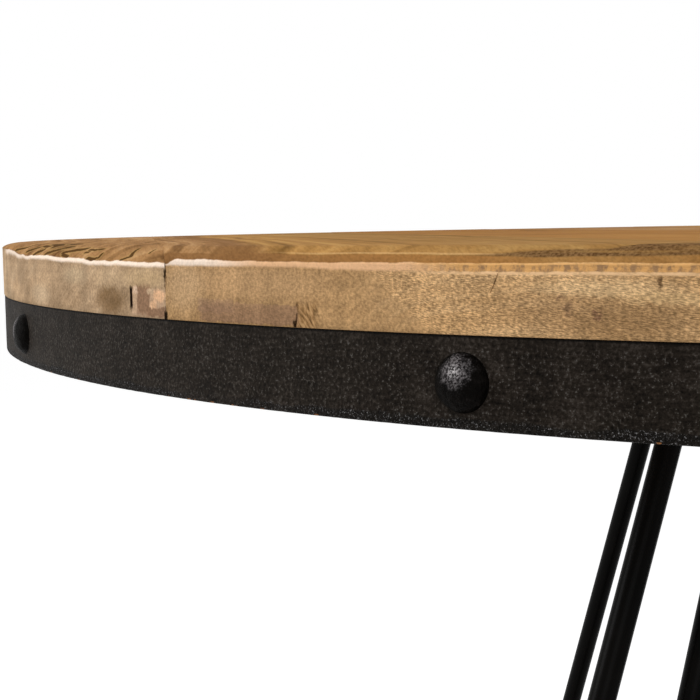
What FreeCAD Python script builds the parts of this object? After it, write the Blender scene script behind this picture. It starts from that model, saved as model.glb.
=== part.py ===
"""Round industrial table: a banded plank top on four legs of bent round bar.

The frame: the origin is on the floor under the middle of the top, +Z is up, and the
planks of the top run along Y. An angle round the table is counted from -Y towards +X.
"""
import FreeCAD, Part
import math
import os

import Sketcher
from FreeCAD import Placement, Rotation, Vector

SIZES = {
    # The top: planks glued edge to edge and cut to a circle
    "table_height": 760.0,
    "top_diameter": 1200.0,
    "plank_thickness": 28.0,
    "plank_edge_round": 6.0,
    # The wooden rim under the planks, which the band is nailed to
    "rim_width": 80.0,
    "rim_thickness": 30.0,
    "rim_chamfer": 3.0,
    # Battens across the planks
    "batten_width": 70.0,
    "batten_thickness": 30.0,
    "batten_spacing": 300.0,
    "batten_end_gap": 0.3,
    "batten_chamfer": 4.0,
    # The band: flat bar rolled to a hoop
    "band_height": 30.0,
    "band_thickness": 5.0,
    "band_setback": 0.3,
    "band_fit": 0.2,
    "band_arris": 1.0,
    # The dome-headed rivets through the band
    "rivet_head_diameter": 20.0,
    "rivet_head_height": 5.8,
    "rivet_shank_diameter": 8.0,
    "rivet_length": 45.0,
    # The legs: each one length of round bar, bent twice at the floor
    "bar_diameter": 15.0,
    "bar_bend_radius": 22.0,
    "leg_top_out": 188.0,
    "leg_top_side": 98.0,
    "leg_foot_out": 409.5,
    "leg_foot_side": 203.0,
    "shank_spread_top": 42.0,
    "shank_spread_foot": 74.0,
    # The mounting plates welded on the legs
    "plate_length": 112.0,
    "plate_width": 64.0,
    "plate_thickness": 6.0,
    "plate_corner_round": 8.0,
    "plate_screw_inset": 12.0,
    "weld_size": 5.0,
    "weld_toe": 1.0,
    # Countersunk wood screws
    "screw_diameter": 5.0,
    "screw_head_diameter": 10.0,
    "screw_bite": 16.0,
    "bore_clearance": 0.1,
    "bore_run_on": 2.0,
    "cut_overrun": 10.0,
}

PLANK_JOINT_SHARES = [-0.857, -0.573, -0.288, -0.013, 0.262, 0.547, 0.84]
RIM_SEGMENTS = 8
RIVETS = 12
RIVET_START_TURNS = 0.5
RIM_SCREW_ANGLE_SHARE = 0.25
LEGS = 4
BATTENS = {"batten_front": -1, "batten_middle": 0, "batten_back": 1}
SHORTEST_BATTEN_LAP_SHARE = 0.06
FULL_TURN = 360
HALF_TURN = 180
QUARTER_TURN = 90
COUNTERSINK_SLOPE = 45
# Two points nearer than this, in millimetres, are taken as one
SAME_PLACE = 1e-3

doc = FreeCAD.newDocument("round_table")
sheet = doc.addObject("Spreadsheet::Sheet", "Sizes")
for row, (name, size) in enumerate(SIZES.items(), start=1):
    sheet.set("A%d" % row, name)
    sheet.set("B%d" % row, str(size))
    sheet.setAlias("B%d" % row, name)
doc.recompute()

TOP_RADIUS = "Sizes.top_diameter / 2"
PLANK_UNDERSIDE = "(Sizes.table_height - Sizes.plank_thickness)"
RIM_UNDERSIDE = "(%s - Sizes.rim_thickness)" % PLANK_UNDERSIDE
BATTEN_UNDERSIDE = "(%s - Sizes.batten_thickness)" % PLANK_UNDERSIDE
BAND_UNDERSIDE = "(%s - Sizes.band_height)" % PLANK_UNDERSIDE
BAND_MIDDLE = "(%s - Sizes.band_height / 2)" % PLANK_UNDERSIDE
BAND_OUTSIDE = "(%s - Sizes.band_setback)" % TOP_RADIUS
BAND_INSIDE = "(%s - Sizes.band_thickness)" % BAND_OUTSIDE
RIM_OUTSIDE = "(%s - Sizes.band_fit)" % BAND_INSIDE
RIM_INSIDE = "(%s - Sizes.rim_width)" % RIM_OUTSIDE
RIM_MIDDLE = "(%s - Sizes.rim_width / 2)" % RIM_OUTSIDE
PLATE_UNDERSIDE = "(%s - Sizes.plate_thickness)" % PLANK_UNDERSIDE
BAR_RADIUS = "(Sizes.bar_diameter / 2)"
BORE_RADIUS = "(Sizes.screw_diameter / 2 + Sizes.bore_clearance)"
HEAD_RADIUS = "(Sizes.screw_head_diameter / 2)"
COUNTERSINK = "(Sizes.screw_head_diameter / 2 - Sizes.screw_diameter / 2)"


def value(text):
    """The number that a sum of sizes comes to."""
    return float(sheet.evalExpression(text))


def new_body(name):
    body = doc.addObject("PartDesign::Body", name)
    body.Label = name
    body.AllowCompound = True
    return body


def origin_feature(body, role):
    return next(item for item in body.Origin.OriginFeatures if item.Role == role)


def new_sketch(body, name, role, height=None):
    """A sketch on one of the body's own planes, lifted along that plane's normal."""
    sketch = body.newObject("Sketcher::SketchObject", name)
    sketch.AttachmentSupport = [(origin_feature(body, role), "")]
    sketch.MapMode = "FlatFace"
    if height is not None:
        sketch.setExpression(".AttachmentOffset.Base.z", height)
    return sketch


def bind(sketch, kind, place, text):
    """A constraint whose size follows the sheet."""
    index = sketch.addConstraint(Sketcher.Constraint(kind, *place, value(text)))
    sketch.setExpression("Constraints[%d]" % index, text)


def pin(sketch, geometry, point, across, up):
    """Hold one point of a sketch at two sums of sizes from the sketch's origin."""
    bind(sketch, "DistanceX", (-1, 1, geometry, point), across)
    bind(sketch, "DistanceY", (-1, 1, geometry, point), up)


def polygon(sketch, corners):
    """A closed outline of straight lines through corners written as sums of sizes."""
    points = [Vector(value(across), value(up), 0) for across, up in corners]
    for index, point in enumerate(points):
        following = points[(index + 1) % len(points)]
        sketch.addGeometry(Part.LineSegment(point, following), False)
    for index in range(len(points)):
        following = (index + 1) % len(points)
        sketch.addConstraint(Sketcher.Constraint("Coincident", index, 2, following, 1))
        pin(sketch, index, 1, *corners[index])


def circles(sketch, places, radius):
    """Round outlines, one at each place."""
    for across, up in places:
        centre = Vector(value(across), value(up), 0)
        index = sketch.addGeometry(Part.Circle(centre, Vector(0, 0, 1), value(radius)), False)
        bind(sketch, "Radius", (index,), radius)
        pin(sketch, index, 3, across, up)


def arc_sided_strip(sketch, low, high, radius, upright):
    """A strip between two parallel lines, ended by arcs round the table's axis.

    With only one line given, the outline is the segment of the circle beyond it.
    """
    reach = value(radius)
    geometry = []
    ends = []
    for text, first in ((low, True), (high, False)):
        if text is None:
            continue
        offset = value(text)
        half = math.sqrt(reach**2 - offset**2)
        start, finish = (offset, -half), (offset, half)
        if not upright:
            start, finish = (-half, offset), (half, offset)
        line = sketch.addGeometry(Part.LineSegment(Vector(*start, 0), Vector(*finish, 0)), False)
        sketch.addConstraint(Sketcher.Constraint("Vertical" if upright else "Horizontal", line))
        geometry.append((line, text))
        ends.append((math.atan2(start[1], start[0]), math.atan2(finish[1], finish[0])))
    return geometry, ends


def add_arc(sketch, radius, start_angle, end_angle):
    """An arc round the sketch's origin, counted anticlockwise."""
    circle = Part.Circle(Vector(0, 0, 0), Vector(0, 0, 1), value(radius))
    index = sketch.addGeometry(Part.ArcOfCircle(circle, start_angle, end_angle), False)
    sketch.addConstraint(Sketcher.Constraint("Coincident", index, 3, -1, 1))
    return index


def pad(body, sketch, name, length, reverse=False):
    feature = body.newObject("PartDesign::Pad", name)
    feature.Profile = sketch
    feature.setExpression("Length", length)
    feature.Reversed = reverse
    doc.recompute()
    return feature


def pocket(body, sketch, name, depth, reverse=False):
    """A cut, which is checked to take something away."""
    doc.recompute()
    before = body.Shape.Volume
    feature = body.newObject("PartDesign::Pocket", name)
    feature.Profile = sketch
    feature.setExpression("Length", depth)
    feature.Reversed = reverse
    doc.recompute()
    if not feature.Shape.Volume < before:
        raise RuntimeError("%s cuts nothing from %s" % (name, body.Label))
    return feature


def edges_at(feature, height, keep):
    """The names of a feature's edges that lie level at one height and that keep accepts."""
    names = []
    for index, edge in enumerate(feature.Shape.Edges, start=1):
        box = edge.BoundBox
        level = abs(box.ZMin - height) < SAME_PLACE and abs(box.ZMax - height) < SAME_PLACE
        if level and keep(edge):
            names.append("Edge%d" % index)
    return names


def has_radius(edge, radius):
    return edge.Curve.TypeId == "Part::GeomCircle" and abs(edge.Curve.Radius - radius) < SAME_PLACE


def dress(body, kind, name, base, edge_names, size):
    feature = body.newObject("PartDesign::" + kind, name)
    feature.Base = (base, edge_names)
    feature.setExpression("Radius" if kind == "Fillet" else "Size", size)
    doc.recompute()
    return feature


def upright_bores(body, name, places, mouth, depth):
    """Round holes bored upwards from a level underside."""
    sketch = new_sketch(body, name + "_marks", "XY_Plane", mouth)
    circles(sketch, places, BORE_RADIUS)
    return pocket(body, sketch, name, depth, reverse=True)


def countersink(body, name, base, mouth):
    rims = edges_at(base, value(mouth), lambda edge: has_radius(edge, value(BORE_RADIUS)))
    return dress(body, "Chamfer", name, base, rims, COUNTERSINK)


def turned(place, quarter_turns):
    """A place turned about the table's axis by quarter turns, as sums of sizes."""
    across, up = place
    for _ in range(quarter_turns):
        across, up = "-(%s)" % up, across
    return across, up


def round_the_table(radius, angle):
    """The place at one angle of a circle round the table's axis."""
    return ("%s * %.9f" % (radius, math.sin(math.radians(angle))),
            "%s * %.9f" % (radius, -math.cos(math.radians(angle))))


# Where the screws go

def plank_sides():
    """Each plank's two long sides, as sums of sizes; None is the edge of the top."""
    joints = ["%s * %.9f" % (TOP_RADIUS, share) for share in PLANK_JOINT_SHARES]
    return list(zip([None] + joints, joints + [None]))


def batten_middle(place):
    return "Sizes.batten_spacing * %d" % place


def batten_screw_places(place):
    """One screw into each plank that the batten laps well, in the middle of the lap."""
    reach = value(RIM_INSIDE)
    far_side = abs(place) * SIZES["batten_spacing"] + SIZES["batten_width"] / 2
    half_share = math.sqrt(reach**2 - far_side**2) / value(TOP_RADIUS)
    limits = [-1.0] + PLANK_JOINT_SHARES + [1.0]
    places = []
    for low, high in zip(limits, limits[1:]):
        low, high = max(low, -half_share), min(high, half_share)
        if high - low > SHORTEST_BATTEN_LAP_SHARE:
            across = "%s * %.9f" % (TOP_RADIUS, (low + high) / 2)
            places.append((across, batten_middle(place)))
    return places


def segment_screw_places(angle):
    spread = FULL_TURN / RIM_SEGMENTS * RIM_SCREW_ANGLE_SHARE
    return [round_the_table(RIM_MIDDLE, angle + side * spread) for side in (-1, 1)]


def plate_screw_places(leg):
    out = "Sizes.plate_length / 2 - Sizes.plate_screw_inset"
    side = "Sizes.plate_width / 2 - Sizes.plate_screw_inset"
    corners = []
    for x_sign in "-+":
        for y_sign in "-+":
            across = "-Sizes.leg_top_out %s (%s)" % (x_sign, out)
            up = "-Sizes.leg_top_side %s (%s)" % (y_sign, side)
            corners.append(turned((across, up), leg))
    return corners


RIM_ANGLES = [FULL_TURN / RIM_SEGMENTS * index for index in range(RIM_SEGMENTS)]
RIVET_ANGLES = [FULL_TURN / RIVETS * (index + RIVET_START_TURNS) for index in range(RIVETS)]
RIM_SCREWS = [place for angle in RIM_ANGLES for place in segment_screw_places(angle)]
BATTEN_SCREWS = [place for batten in BATTENS.values() for place in batten_screw_places(batten)]
PLATE_SCREWS = [place for leg in range(LEGS) for place in plate_screw_places(leg)]


def make_plank(number, low, high):
    """One plank of the top, sawn to the circle, its upper arris rounded over."""
    body = new_body("plank_%d" % number)
    sketch = new_sketch(body, "plank_%d_outline" % number, "XY_Plane", PLANK_UNDERSIDE)
    lines, ends = arc_sided_strip(sketch, low, high, TOP_RADIUS, upright=True)
    if len(lines) == 2:
        (left, low_text), (right, high_text) = lines
        near = add_arc(sketch, TOP_RADIUS, ends[0][0] + 2 * math.pi, ends[1][0] + 2 * math.pi)
        far = add_arc(sketch, TOP_RADIUS, ends[1][1], ends[0][1])
        joins = ((near, 1, left, 1), (near, 2, right, 1), (far, 1, right, 2), (far, 2, left, 2))
        bind(sketch, "DistanceX", (-1, 1, left, 1), low_text)
        bind(sketch, "DistanceX", (-1, 1, right, 1), high_text)
        bind(sketch, "Radius", (near,), TOP_RADIUS)
        bind(sketch, "Radius", (far,), TOP_RADIUS)
    else:
        line, text = lines[0]
        start, finish = (ends[0][0], ends[0][1])
        if low is None:
            start, finish = finish, start + 2 * math.pi
            joins_end = ((2, 1), (1, 2))
        else:
            joins_end = ((1, 1), (2, 2))
        bow = add_arc(sketch, TOP_RADIUS, start, finish)
        joins = tuple((bow, arc_end, line, line_end) for arc_end, line_end in joins_end)
        bind(sketch, "DistanceX", (-1, 1, line, 1), text)
        bind(sketch, "Radius", (bow,), TOP_RADIUS)
    for join in joins:
        sketch.addConstraint(Sketcher.Constraint("Coincident", *join))
    board = pad(body, sketch, "plank_%d_board" % number, "Sizes.plank_thickness")
    rim = edges_at(board, SIZES["table_height"], lambda edge: has_radius(edge, value(TOP_RADIUS)))
    dress(body, "Fillet", "plank_%d_round" % number, board, rim, "Sizes.plank_edge_round")
    left = -value(TOP_RADIUS) if low is None else value(low)
    right = value(TOP_RADIUS) if high is None else value(high)
    screws = [place for place in RIM_SCREWS + BATTEN_SCREWS + PLATE_SCREWS
              if left < value(place[0]) < right]
    upright_bores(body, "plank_%d_bores" % number, screws, PLANK_UNDERSIDE,
                  "Sizes.screw_bite + Sizes.bore_run_on")
    return body


def make_rim_segment(number, angle):
    """One curved piece of the rim, screwed up into the planks and bored for the rivets."""
    name = "rim_segment_%d" % number
    body = new_body(name)
    section = new_sketch(body, name + "_section", "YZ_Plane")
    polygon(section, [("-(%s)" % RIM_OUTSIDE, RIM_UNDERSIDE), ("-(%s)" % RIM_INSIDE, RIM_UNDERSIDE),
                      ("-(%s)" % RIM_INSIDE, PLANK_UNDERSIDE), ("-(%s)" % RIM_OUTSIDE, PLANK_UNDERSIDE)])
    curve = body.newObject("PartDesign::Revolution", name + "_curve")
    curve.Profile = section
    curve.ReferenceAxis = (section, ["V_Axis"])
    curve.Angle = FULL_TURN / RIM_SEGMENTS
    curve.Midplane = True
    doc.recompute()
    inner = edges_at(curve, value(RIM_UNDERSIDE), lambda edge: has_radius(edge, value(RIM_INSIDE)))
    dress(body, "Chamfer", name + "_chamfer", curve, inner, "Sizes.rim_chamfer")
    bores = upright_bores(body, name + "_bores", segment_screw_places(0), RIM_UNDERSIDE,
                          "Sizes.rim_thickness")
    countersink(body, name + "_countersinks", bores, RIM_UNDERSIDE)
    half = HALF_TURN / RIM_SEGMENTS
    for index, rivet_angle in enumerate(RIVET_ANGLES):
        off = (rivet_angle - angle + HALF_TURN) % FULL_TURN - HALF_TURN
        if abs(off) < half:
            radial_bore(body, "%s_rivet_bore_%d" % (name, index), off)
    body.Placement = Placement(Vector(0, 0, 0), Rotation(Vector(0, 0, 1), angle))
    return body


def radial_bore(body, name, angle):
    """A blind hole for a rivet's shank, bored in from the rim's outer face."""
    depth = "(Sizes.rivet_length - Sizes.band_thickness - Sizes.band_fit + Sizes.bore_run_on)"
    bottom = "(%s - %s)" % (RIM_OUTSIDE, depth)
    sketch = body.newObject("Sketcher::SketchObject", name + "_mark")
    sketch.AttachmentSupport = [(origin_feature(body, "XZ_Plane"), "")]
    sketch.MapMode = "FlatFace"
    turn = Rotation(Vector(0, 1, 0), angle)
    sketch.AttachmentOffset = Placement(Vector(0, 0, 0), turn)
    sketch.setExpression(".AttachmentOffset.Base.x",
                         "%s * %.9f" % (bottom, math.sin(math.radians(angle))))
    sketch.setExpression(".AttachmentOffset.Base.y", BAND_MIDDLE)
    sketch.setExpression(".AttachmentOffset.Base.z",
                         "%s * %.9f" % (bottom, math.cos(math.radians(angle))))
    radius = "Sizes.rivet_shank_diameter / 2 + Sizes.bore_clearance"
    circles(sketch, [("0", "0")], radius)
    pocket(body, sketch, name, "%s + Sizes.cut_overrun" % depth, reverse=True)


def make_batten(name, place):
    """A straight batten under the planks, its ends cut to the curve of the rim."""
    body = new_body(name)
    reach = "(%s - Sizes.batten_end_gap)" % RIM_INSIDE
    middle = batten_middle(place)
    near = "%s - Sizes.batten_width / 2" % middle
    far = "%s + Sizes.batten_width / 2" % middle
    sketch = new_sketch(body, name + "_outline", "XY_Plane", BATTEN_UNDERSIDE)
    lines, ends = arc_sided_strip(sketch, near, far, reach, upright=False)
    (front, _), (back, _) = lines
    right = add_arc(sketch, reach, ends[0][1], ends[1][1])
    left_start, left_end = ends[1][0] % (2 * math.pi), ends[0][0] % (2 * math.pi)
    left = add_arc(sketch, reach, left_start, left_end)
    for join in ((right, 1, front, 2), (right, 2, back, 2), (left, 1, back, 1), (left, 2, front, 1)):
        sketch.addConstraint(Sketcher.Constraint("Coincident", *join))
    bind(sketch, "DistanceY", (-1, 1, front, 1), near)
    bind(sketch, "DistanceY", (-1, 1, back, 1), far)
    bind(sketch, "Radius", (right,), reach)
    bind(sketch, "Radius", (left,), reach)
    bar = pad(body, sketch, name + "_bar", "Sizes.batten_thickness")
    long_edges = edges_at(bar, value(BATTEN_UNDERSIDE),
                          lambda edge: edge.Curve.TypeId == "Part::GeomLine")
    dress(body, "Chamfer", name + "_chamfer", bar, long_edges, "Sizes.batten_chamfer")
    bores = upright_bores(body, name + "_bores", batten_screw_places(place), BATTEN_UNDERSIDE,
                          "Sizes.batten_thickness")
    countersink(body, name + "_countersinks", bores, BATTEN_UNDERSIDE)
    return body


def make_band():
    """Flat bar rolled to a hoop, welded shut, and drilled for the rivets."""
    body = new_body("iron_band")
    section = new_sketch(body, "band_section", "XZ_Plane")
    polygon(section, [(BAND_INSIDE, BAND_UNDERSIDE), (BAND_OUTSIDE, BAND_UNDERSIDE),
                      (BAND_OUTSIDE, PLANK_UNDERSIDE), (BAND_INSIDE, PLANK_UNDERSIDE)])
    hoop = body.newObject("PartDesign::Revolution", "band_hoop")
    hoop.Profile = section
    hoop.ReferenceAxis = (section, ["V_Axis"])
    hoop.Angle = FULL_TURN
    doc.recompute()
    arris = edges_at(hoop, value(BAND_UNDERSIDE), lambda edge: has_radius(edge, value(BAND_OUTSIDE)))
    dress(body, "Fillet", "band_arris", hoop, arris, "Sizes.band_arris")
    mark = new_sketch(body, "band_hole_mark", "XZ_Plane")
    circles(mark, [("0", BAND_MIDDLE)], "Sizes.rivet_shank_diameter / 2 + Sizes.bore_clearance")
    hole = pocket(body, mark, "band_hole", "%s + Sizes.cut_overrun" % BAND_OUTSIDE, reverse=True)
    ring(body, "band_holes", [hole], RIVETS)
    body.Placement = Placement(Vector(0, 0, 0),
                               Rotation(Vector(0, 0, 1), FULL_TURN / RIVETS * RIVET_START_TURNS))
    return body


def ring(body, name, features, count):
    """Repeat features evenly round the table's axis."""
    pattern = body.newObject("PartDesign::PolarPattern", name)
    pattern.Originals = features
    pattern.Axis = (origin_feature(body, "Z_Axis"), [""])
    pattern.Angle = FULL_TURN
    pattern.Occurrences = count
    body.Tip = pattern
    doc.recompute()
    return pattern


def make_rivets():
    """Forged rivets with a low dome head, driven through the band into the rim."""
    body = new_body("band_rivets")
    sketch = new_sketch(body, "rivet_profile", "YZ_Plane")
    sketch.setExpression(".AttachmentOffset.Base.y", BAND_MIDDLE)
    seat = "-(%s)" % BAND_OUTSIDE
    crown = "-(%s + Sizes.rivet_head_height)" % BAND_OUTSIDE
    tip = "-(%s - Sizes.rivet_length)" % BAND_OUTSIDE
    shank = "Sizes.rivet_shank_diameter / 2"
    head = "Sizes.rivet_head_diameter / 2"
    dome = "((%s)^2 + Sizes.rivet_head_height^2) / (2 * Sizes.rivet_head_height)" % head
    centre = "%s + (%s)" % (crown, dome)
    corners = [(crown, "0"), (tip, "0"), (tip, shank), (seat, shank), (seat, head)]
    points = [Vector(value(across), value(up), 0) for across, up in corners]
    for first, second in zip(points, points[1:]):
        sketch.addGeometry(Part.LineSegment(first, second), False)
    middle = Vector(value(centre), 0, 0)
    to_head = math.atan2(points[4].y, points[4].x - middle.x)
    circle = Part.Circle(middle, Vector(0, 0, 1), value(dome))
    bow = sketch.addGeometry(Part.ArcOfCircle(circle, to_head, math.pi), False)
    for index in range(3):
        sketch.addConstraint(Sketcher.Constraint("Coincident", index, 2, index + 1, 1))
    sketch.addConstraint(Sketcher.Constraint("Coincident", bow, 1, 3, 2))
    sketch.addConstraint(Sketcher.Constraint("Coincident", bow, 2, 0, 1))
    sketch.addConstraint(Sketcher.Constraint("PointOnObject", bow, 3, -1))
    for index, corner in enumerate(corners[:4]):
        pin(sketch, index, 1, *corner)
    pin(sketch, 3, 2, *corners[4])
    rivet = body.newObject("PartDesign::Revolution", "rivet")
    rivet.Profile = sketch
    rivet.ReferenceAxis = (sketch, ["H_Axis"])
    rivet.Angle = FULL_TURN
    doc.recompute()
    ring(body, "rivets", [rivet], RIVETS)
    body.Placement = Placement(Vector(0, 0, 0),
                               Rotation(Vector(0, 0, 1), FULL_TURN / RIVETS * RIVET_START_TURNS))
    return body


def make_screws(name, places, mouth, length):
    """Countersunk screws, heads level with the underside that they are driven into."""
    body = new_body(name)
    shanks = new_sketch(body, name + "_shank_marks", "XY_Plane", mouth)
    circles(shanks, places, "Sizes.screw_diameter / 2")
    pad(body, shanks, name + "_shanks", length)
    heads = new_sketch(body, name + "_head_marks", "XY_Plane", mouth)
    circles(heads, places, HEAD_RADIUS)
    feature = body.newObject("PartDesign::Pad", name + "_heads")
    feature.Profile = heads
    feature.setExpression("Length", COUNTERSINK)
    feature.TaperAngle = -COUNTERSINK_SLOPE
    doc.recompute()
    return body


# The legs

LEG_DROP = "(%s - %s)" % (PLATE_UNDERSIDE, BAR_RADIUS)
LEG_SIDE_STEP = "(Sizes.leg_foot_side - Sizes.leg_top_side)"
LEG_LENGTH = "sqrt(%s^2 + %s^2)" % (LEG_DROP, LEG_SIDE_STEP)
LEG_LEAN = "atan(%s / %s)" % (LEG_SIDE_STEP, LEG_DROP)


def make_leg(number):
    """One round bar bent to a narrow stirrup: two shanks and a short run on the floor.

    The stirrup is flat. Its plane leans outwards, and in that plane both shanks slope
    away from the middle of the table and spread towards the floor.
    """
    name = "leg_%d" % number
    body = new_body(name)
    path = body.newObject("Sketcher::SketchObject", name + "_path")
    path.AttachmentSupport = [(origin_feature(body, "XZ_Plane"), "")]
    path.MapMode = "FlatFace"
    lean = math.degrees(math.atan(value(LEG_SIDE_STEP) / value(LEG_DROP)))
    path.AttachmentOffset = Placement(Vector(0, 0, 0), Rotation(Vector(-1, 0, 0), lean))
    path.setExpression(".AttachmentOffset.Rotation.Angle", LEG_LEAN)
    path.setExpression(".AttachmentOffset.Base.x", "-Sizes.leg_top_out")
    path.setExpression(".AttachmentOffset.Base.y", PLATE_UNDERSIDE)
    path.setExpression(".AttachmentOffset.Base.z", "Sizes.leg_top_side")
    shift = "(Sizes.leg_foot_out - Sizes.leg_top_out)"
    tops = []
    feet = []
    for sign in "-+":
        top = "%s Sizes.shank_spread_top / 2" % sign
        foot = "-%s %s Sizes.shank_spread_foot / 2" % (shift, sign)
        rise = "Sizes.cut_overrun"
        over = "((%s) - (%s)) * Sizes.cut_overrun / %s" % (top, foot, LEG_LENGTH)
        tops.append(("%s + %s" % (top, over), rise))
        feet.append((foot, "-%s" % LEG_LENGTH))
    bent_path(path, tops[0], feet[0], feet[1], tops[1], "Sizes.bar_bend_radius")
    doc.recompute()
    profile = body.newObject("Sketcher::SketchObject", name + "_section")
    profile.AttachmentSupport = [(path, "Edge1")]
    profile.MapMode = "NormalToEdge"
    profile.MapPathParameter = 0
    doc.recompute()
    profile.addGeometry(Part.Circle(Vector(0, 0, 0), Vector(0, 0, 1), value(BAR_RADIUS)), False)
    profile.addConstraint(Sketcher.Constraint("Coincident", 0, 3, -1, 1))
    bind(profile, "Radius", (0,), BAR_RADIUS)
    doc.recompute()
    bar = body.newObject("PartDesign::AdditivePipe", name + "_bar")
    bar.Profile = profile
    bar.Spine = (path, ["Edge%d" % index for index in range(1, 6)])
    doc.recompute()
    trim = new_sketch(body, name + "_trim_outline", "XY_Plane", PLATE_UNDERSIDE)
    half = "(Sizes.shank_spread_top / 2 + Sizes.bar_diameter + Sizes.cut_overrun)"
    out, side = "-Sizes.leg_top_out", "-Sizes.leg_top_side"
    polygon(trim, [("%s - %s" % (out, half), "%s - %s" % (side, half)),
                   ("%s + %s" % (out, half), "%s - %s" % (side, half)),
                   ("%s + %s" % (out, half), "%s + %s" % (side, half)),
                   ("%s - %s" % (out, half), "%s + %s" % (side, half))])
    pocket(body, trim, name + "_trim", "2 * Sizes.cut_overrun + Sizes.bar_diameter", reverse=True)
    body.Placement = Placement(Vector(0, 0, 0), Rotation(Vector(0, 0, 1), QUARTER_TURN * (number - 1)))
    return body


def bent_path(sketch, start, first_corner, second_corner, finish, radius):
    """A line bent round two corners: three straight runs joined by tangent arcs."""
    corners = [start, first_corner, second_corner, finish]
    points = [Vector(value(across), value(up), 0) for across, up in corners]
    bend = value(radius)
    stops = [points[0]]
    arcs = []
    for before, corner, after in zip(points, points[1:], points[2:]):
        back = (before - corner).normalize()
        ahead = (after - corner).normalize()
        half_angle = back.getAngle(ahead) / 2
        reach = bend / math.tan(half_angle)
        centre = corner + (back + ahead).normalize() * (bend / math.sin(half_angle))
        stops += [corner + back * reach, corner + ahead * reach]
        toward = (corner - centre).normalize() * bend
        arcs.append((corner + back * reach, centre + toward, corner + ahead * reach))
    stops.append(points[-1])
    pieces = [Part.LineSegment(stops[0], stops[1]), Part.Arc(*arcs[0]),
              Part.LineSegment(stops[2], stops[3]), Part.Arc(*arcs[1]),
              Part.LineSegment(stops[4], stops[5])]
    for piece in pieces:
        sketch.addGeometry(piece, False)
    for arc, line in ((1, 0), (1, 2), (3, 2), (3, 4)):
        meeting = stops[line + 1] if line < arc else stops[line]
        line_end = 2 if line < arc else 1
        arc_end = 1 if sketch.getPoint(arc, 1).distanceToPoint(meeting) < SAME_PLACE else 2
        sketch.addConstraint(Sketcher.Constraint("Tangent", line, line_end, arc, arc_end))
    bind(sketch, "Radius", (1,), radius)
    bind(sketch, "Radius", (3,), radius)
    pin(sketch, 0, 1, *start)
    pin(sketch, 4, 2, *finish)
    for corner, sloping in ((first_corner, 0), (second_corner, 4)):
        mark = sketch.addGeometry(Part.Point(Vector(value(corner[0]), value(corner[1]), 0)), True)
        pin(sketch, mark, 1, *corner)
        sketch.addConstraint(Sketcher.Constraint("PointOnObject", mark, 1, sloping))
        sketch.addConstraint(Sketcher.Constraint("PointOnObject", mark, 1, 2))


def make_plate(number):
    """The steel plate that a leg is welded to, screwed up into the planks."""
    name = "leg_plate_%d" % number
    body = new_body(name)
    sketch = new_sketch(body, name + "_outline", "XY_Plane", PLATE_UNDERSIDE)
    out, side = "-Sizes.leg_top_out", "-Sizes.leg_top_side"
    long_half, short_half = "Sizes.plate_length / 2", "Sizes.plate_width / 2"
    polygon(sketch, [("%s - %s" % (out, long_half), "%s - %s" % (side, short_half)),
                     ("%s + %s" % (out, long_half), "%s - %s" % (side, short_half)),
                     ("%s + %s" % (out, long_half), "%s + %s" % (side, short_half)),
                     ("%s - %s" % (out, long_half), "%s + %s" % (side, short_half))])
    slab = pad(body, sketch, name + "_slab", "Sizes.plate_thickness")
    corners = ["Edge%d" % index for index, edge in enumerate(slab.Shape.Edges, start=1)
               if edge.BoundBox.ZLength > value("Sizes.plate_thickness / 2")]
    dress(body, "Fillet", name + "_corners", slab, corners, "Sizes.plate_corner_round")
    bores = upright_bores(body, name + "_bores", plate_screw_places(0), PLATE_UNDERSIDE,
                          "Sizes.plate_thickness")
    countersink(body, name + "_countersinks", bores, PLATE_UNDERSIDE)
    body.Placement = Placement(Vector(0, 0, 0), Rotation(Vector(0, 0, 1), QUARTER_TURN * (number - 1)))
    return body


def make_welds():
    """A bead of weld round each shank where it meets its plate."""
    beads = []
    height = SIZES["weld_size"]
    plate = value(PLATE_UNDERSIDE)
    for leg in range(LEGS):
        for side in (-1, 1):
            top_out = SIZES["leg_top_out"] - side * SIZES["shank_spread_top"] / 2
            foot_out = SIZES["leg_foot_out"] - side * SIZES["shank_spread_foot"] / 2
            top = Vector(-top_out, -SIZES["leg_top_side"], plate)
            foot = Vector(-foot_out, -SIZES["leg_foot_side"], value(BAR_RADIUS))
            down = (foot - top).normalize()
            wide = value(BAR_RADIUS) + height
            toe = value(BAR_RADIUS) + SIZES["weld_toe"]
            cone = Part.makeCone(wide, toe, height, top, Vector(0, 0, -1))
            lean = down * (height / -down.z)
            shear = FreeCAD.Matrix()
            shear.A13 = lean.x / lean.z
            shear.A23 = lean.y / lean.z
            to_top = FreeCAD.Matrix()
            to_top.move(top)
            from_top = FreeCAD.Matrix()
            from_top.move(-top)
            bead = cone.transformGeometry(to_top * shear * from_top)
            length = height + SIZES["cut_overrun"]
            shank = Part.makeCylinder(value(BAR_RADIUS), 2 * length, top - down * length, down)
            bead = bead.cut(shank)
            bead.rotate(Vector(0, 0, 0), Vector(0, 0, 1), QUARTER_TURN * leg)
            beads.append(bead)
    node = doc.addObject("Part::Feature", "leg_welds")
    node.Label = "leg_welds"
    node.Shape = Part.makeCompound(beads)
    return node


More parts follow.
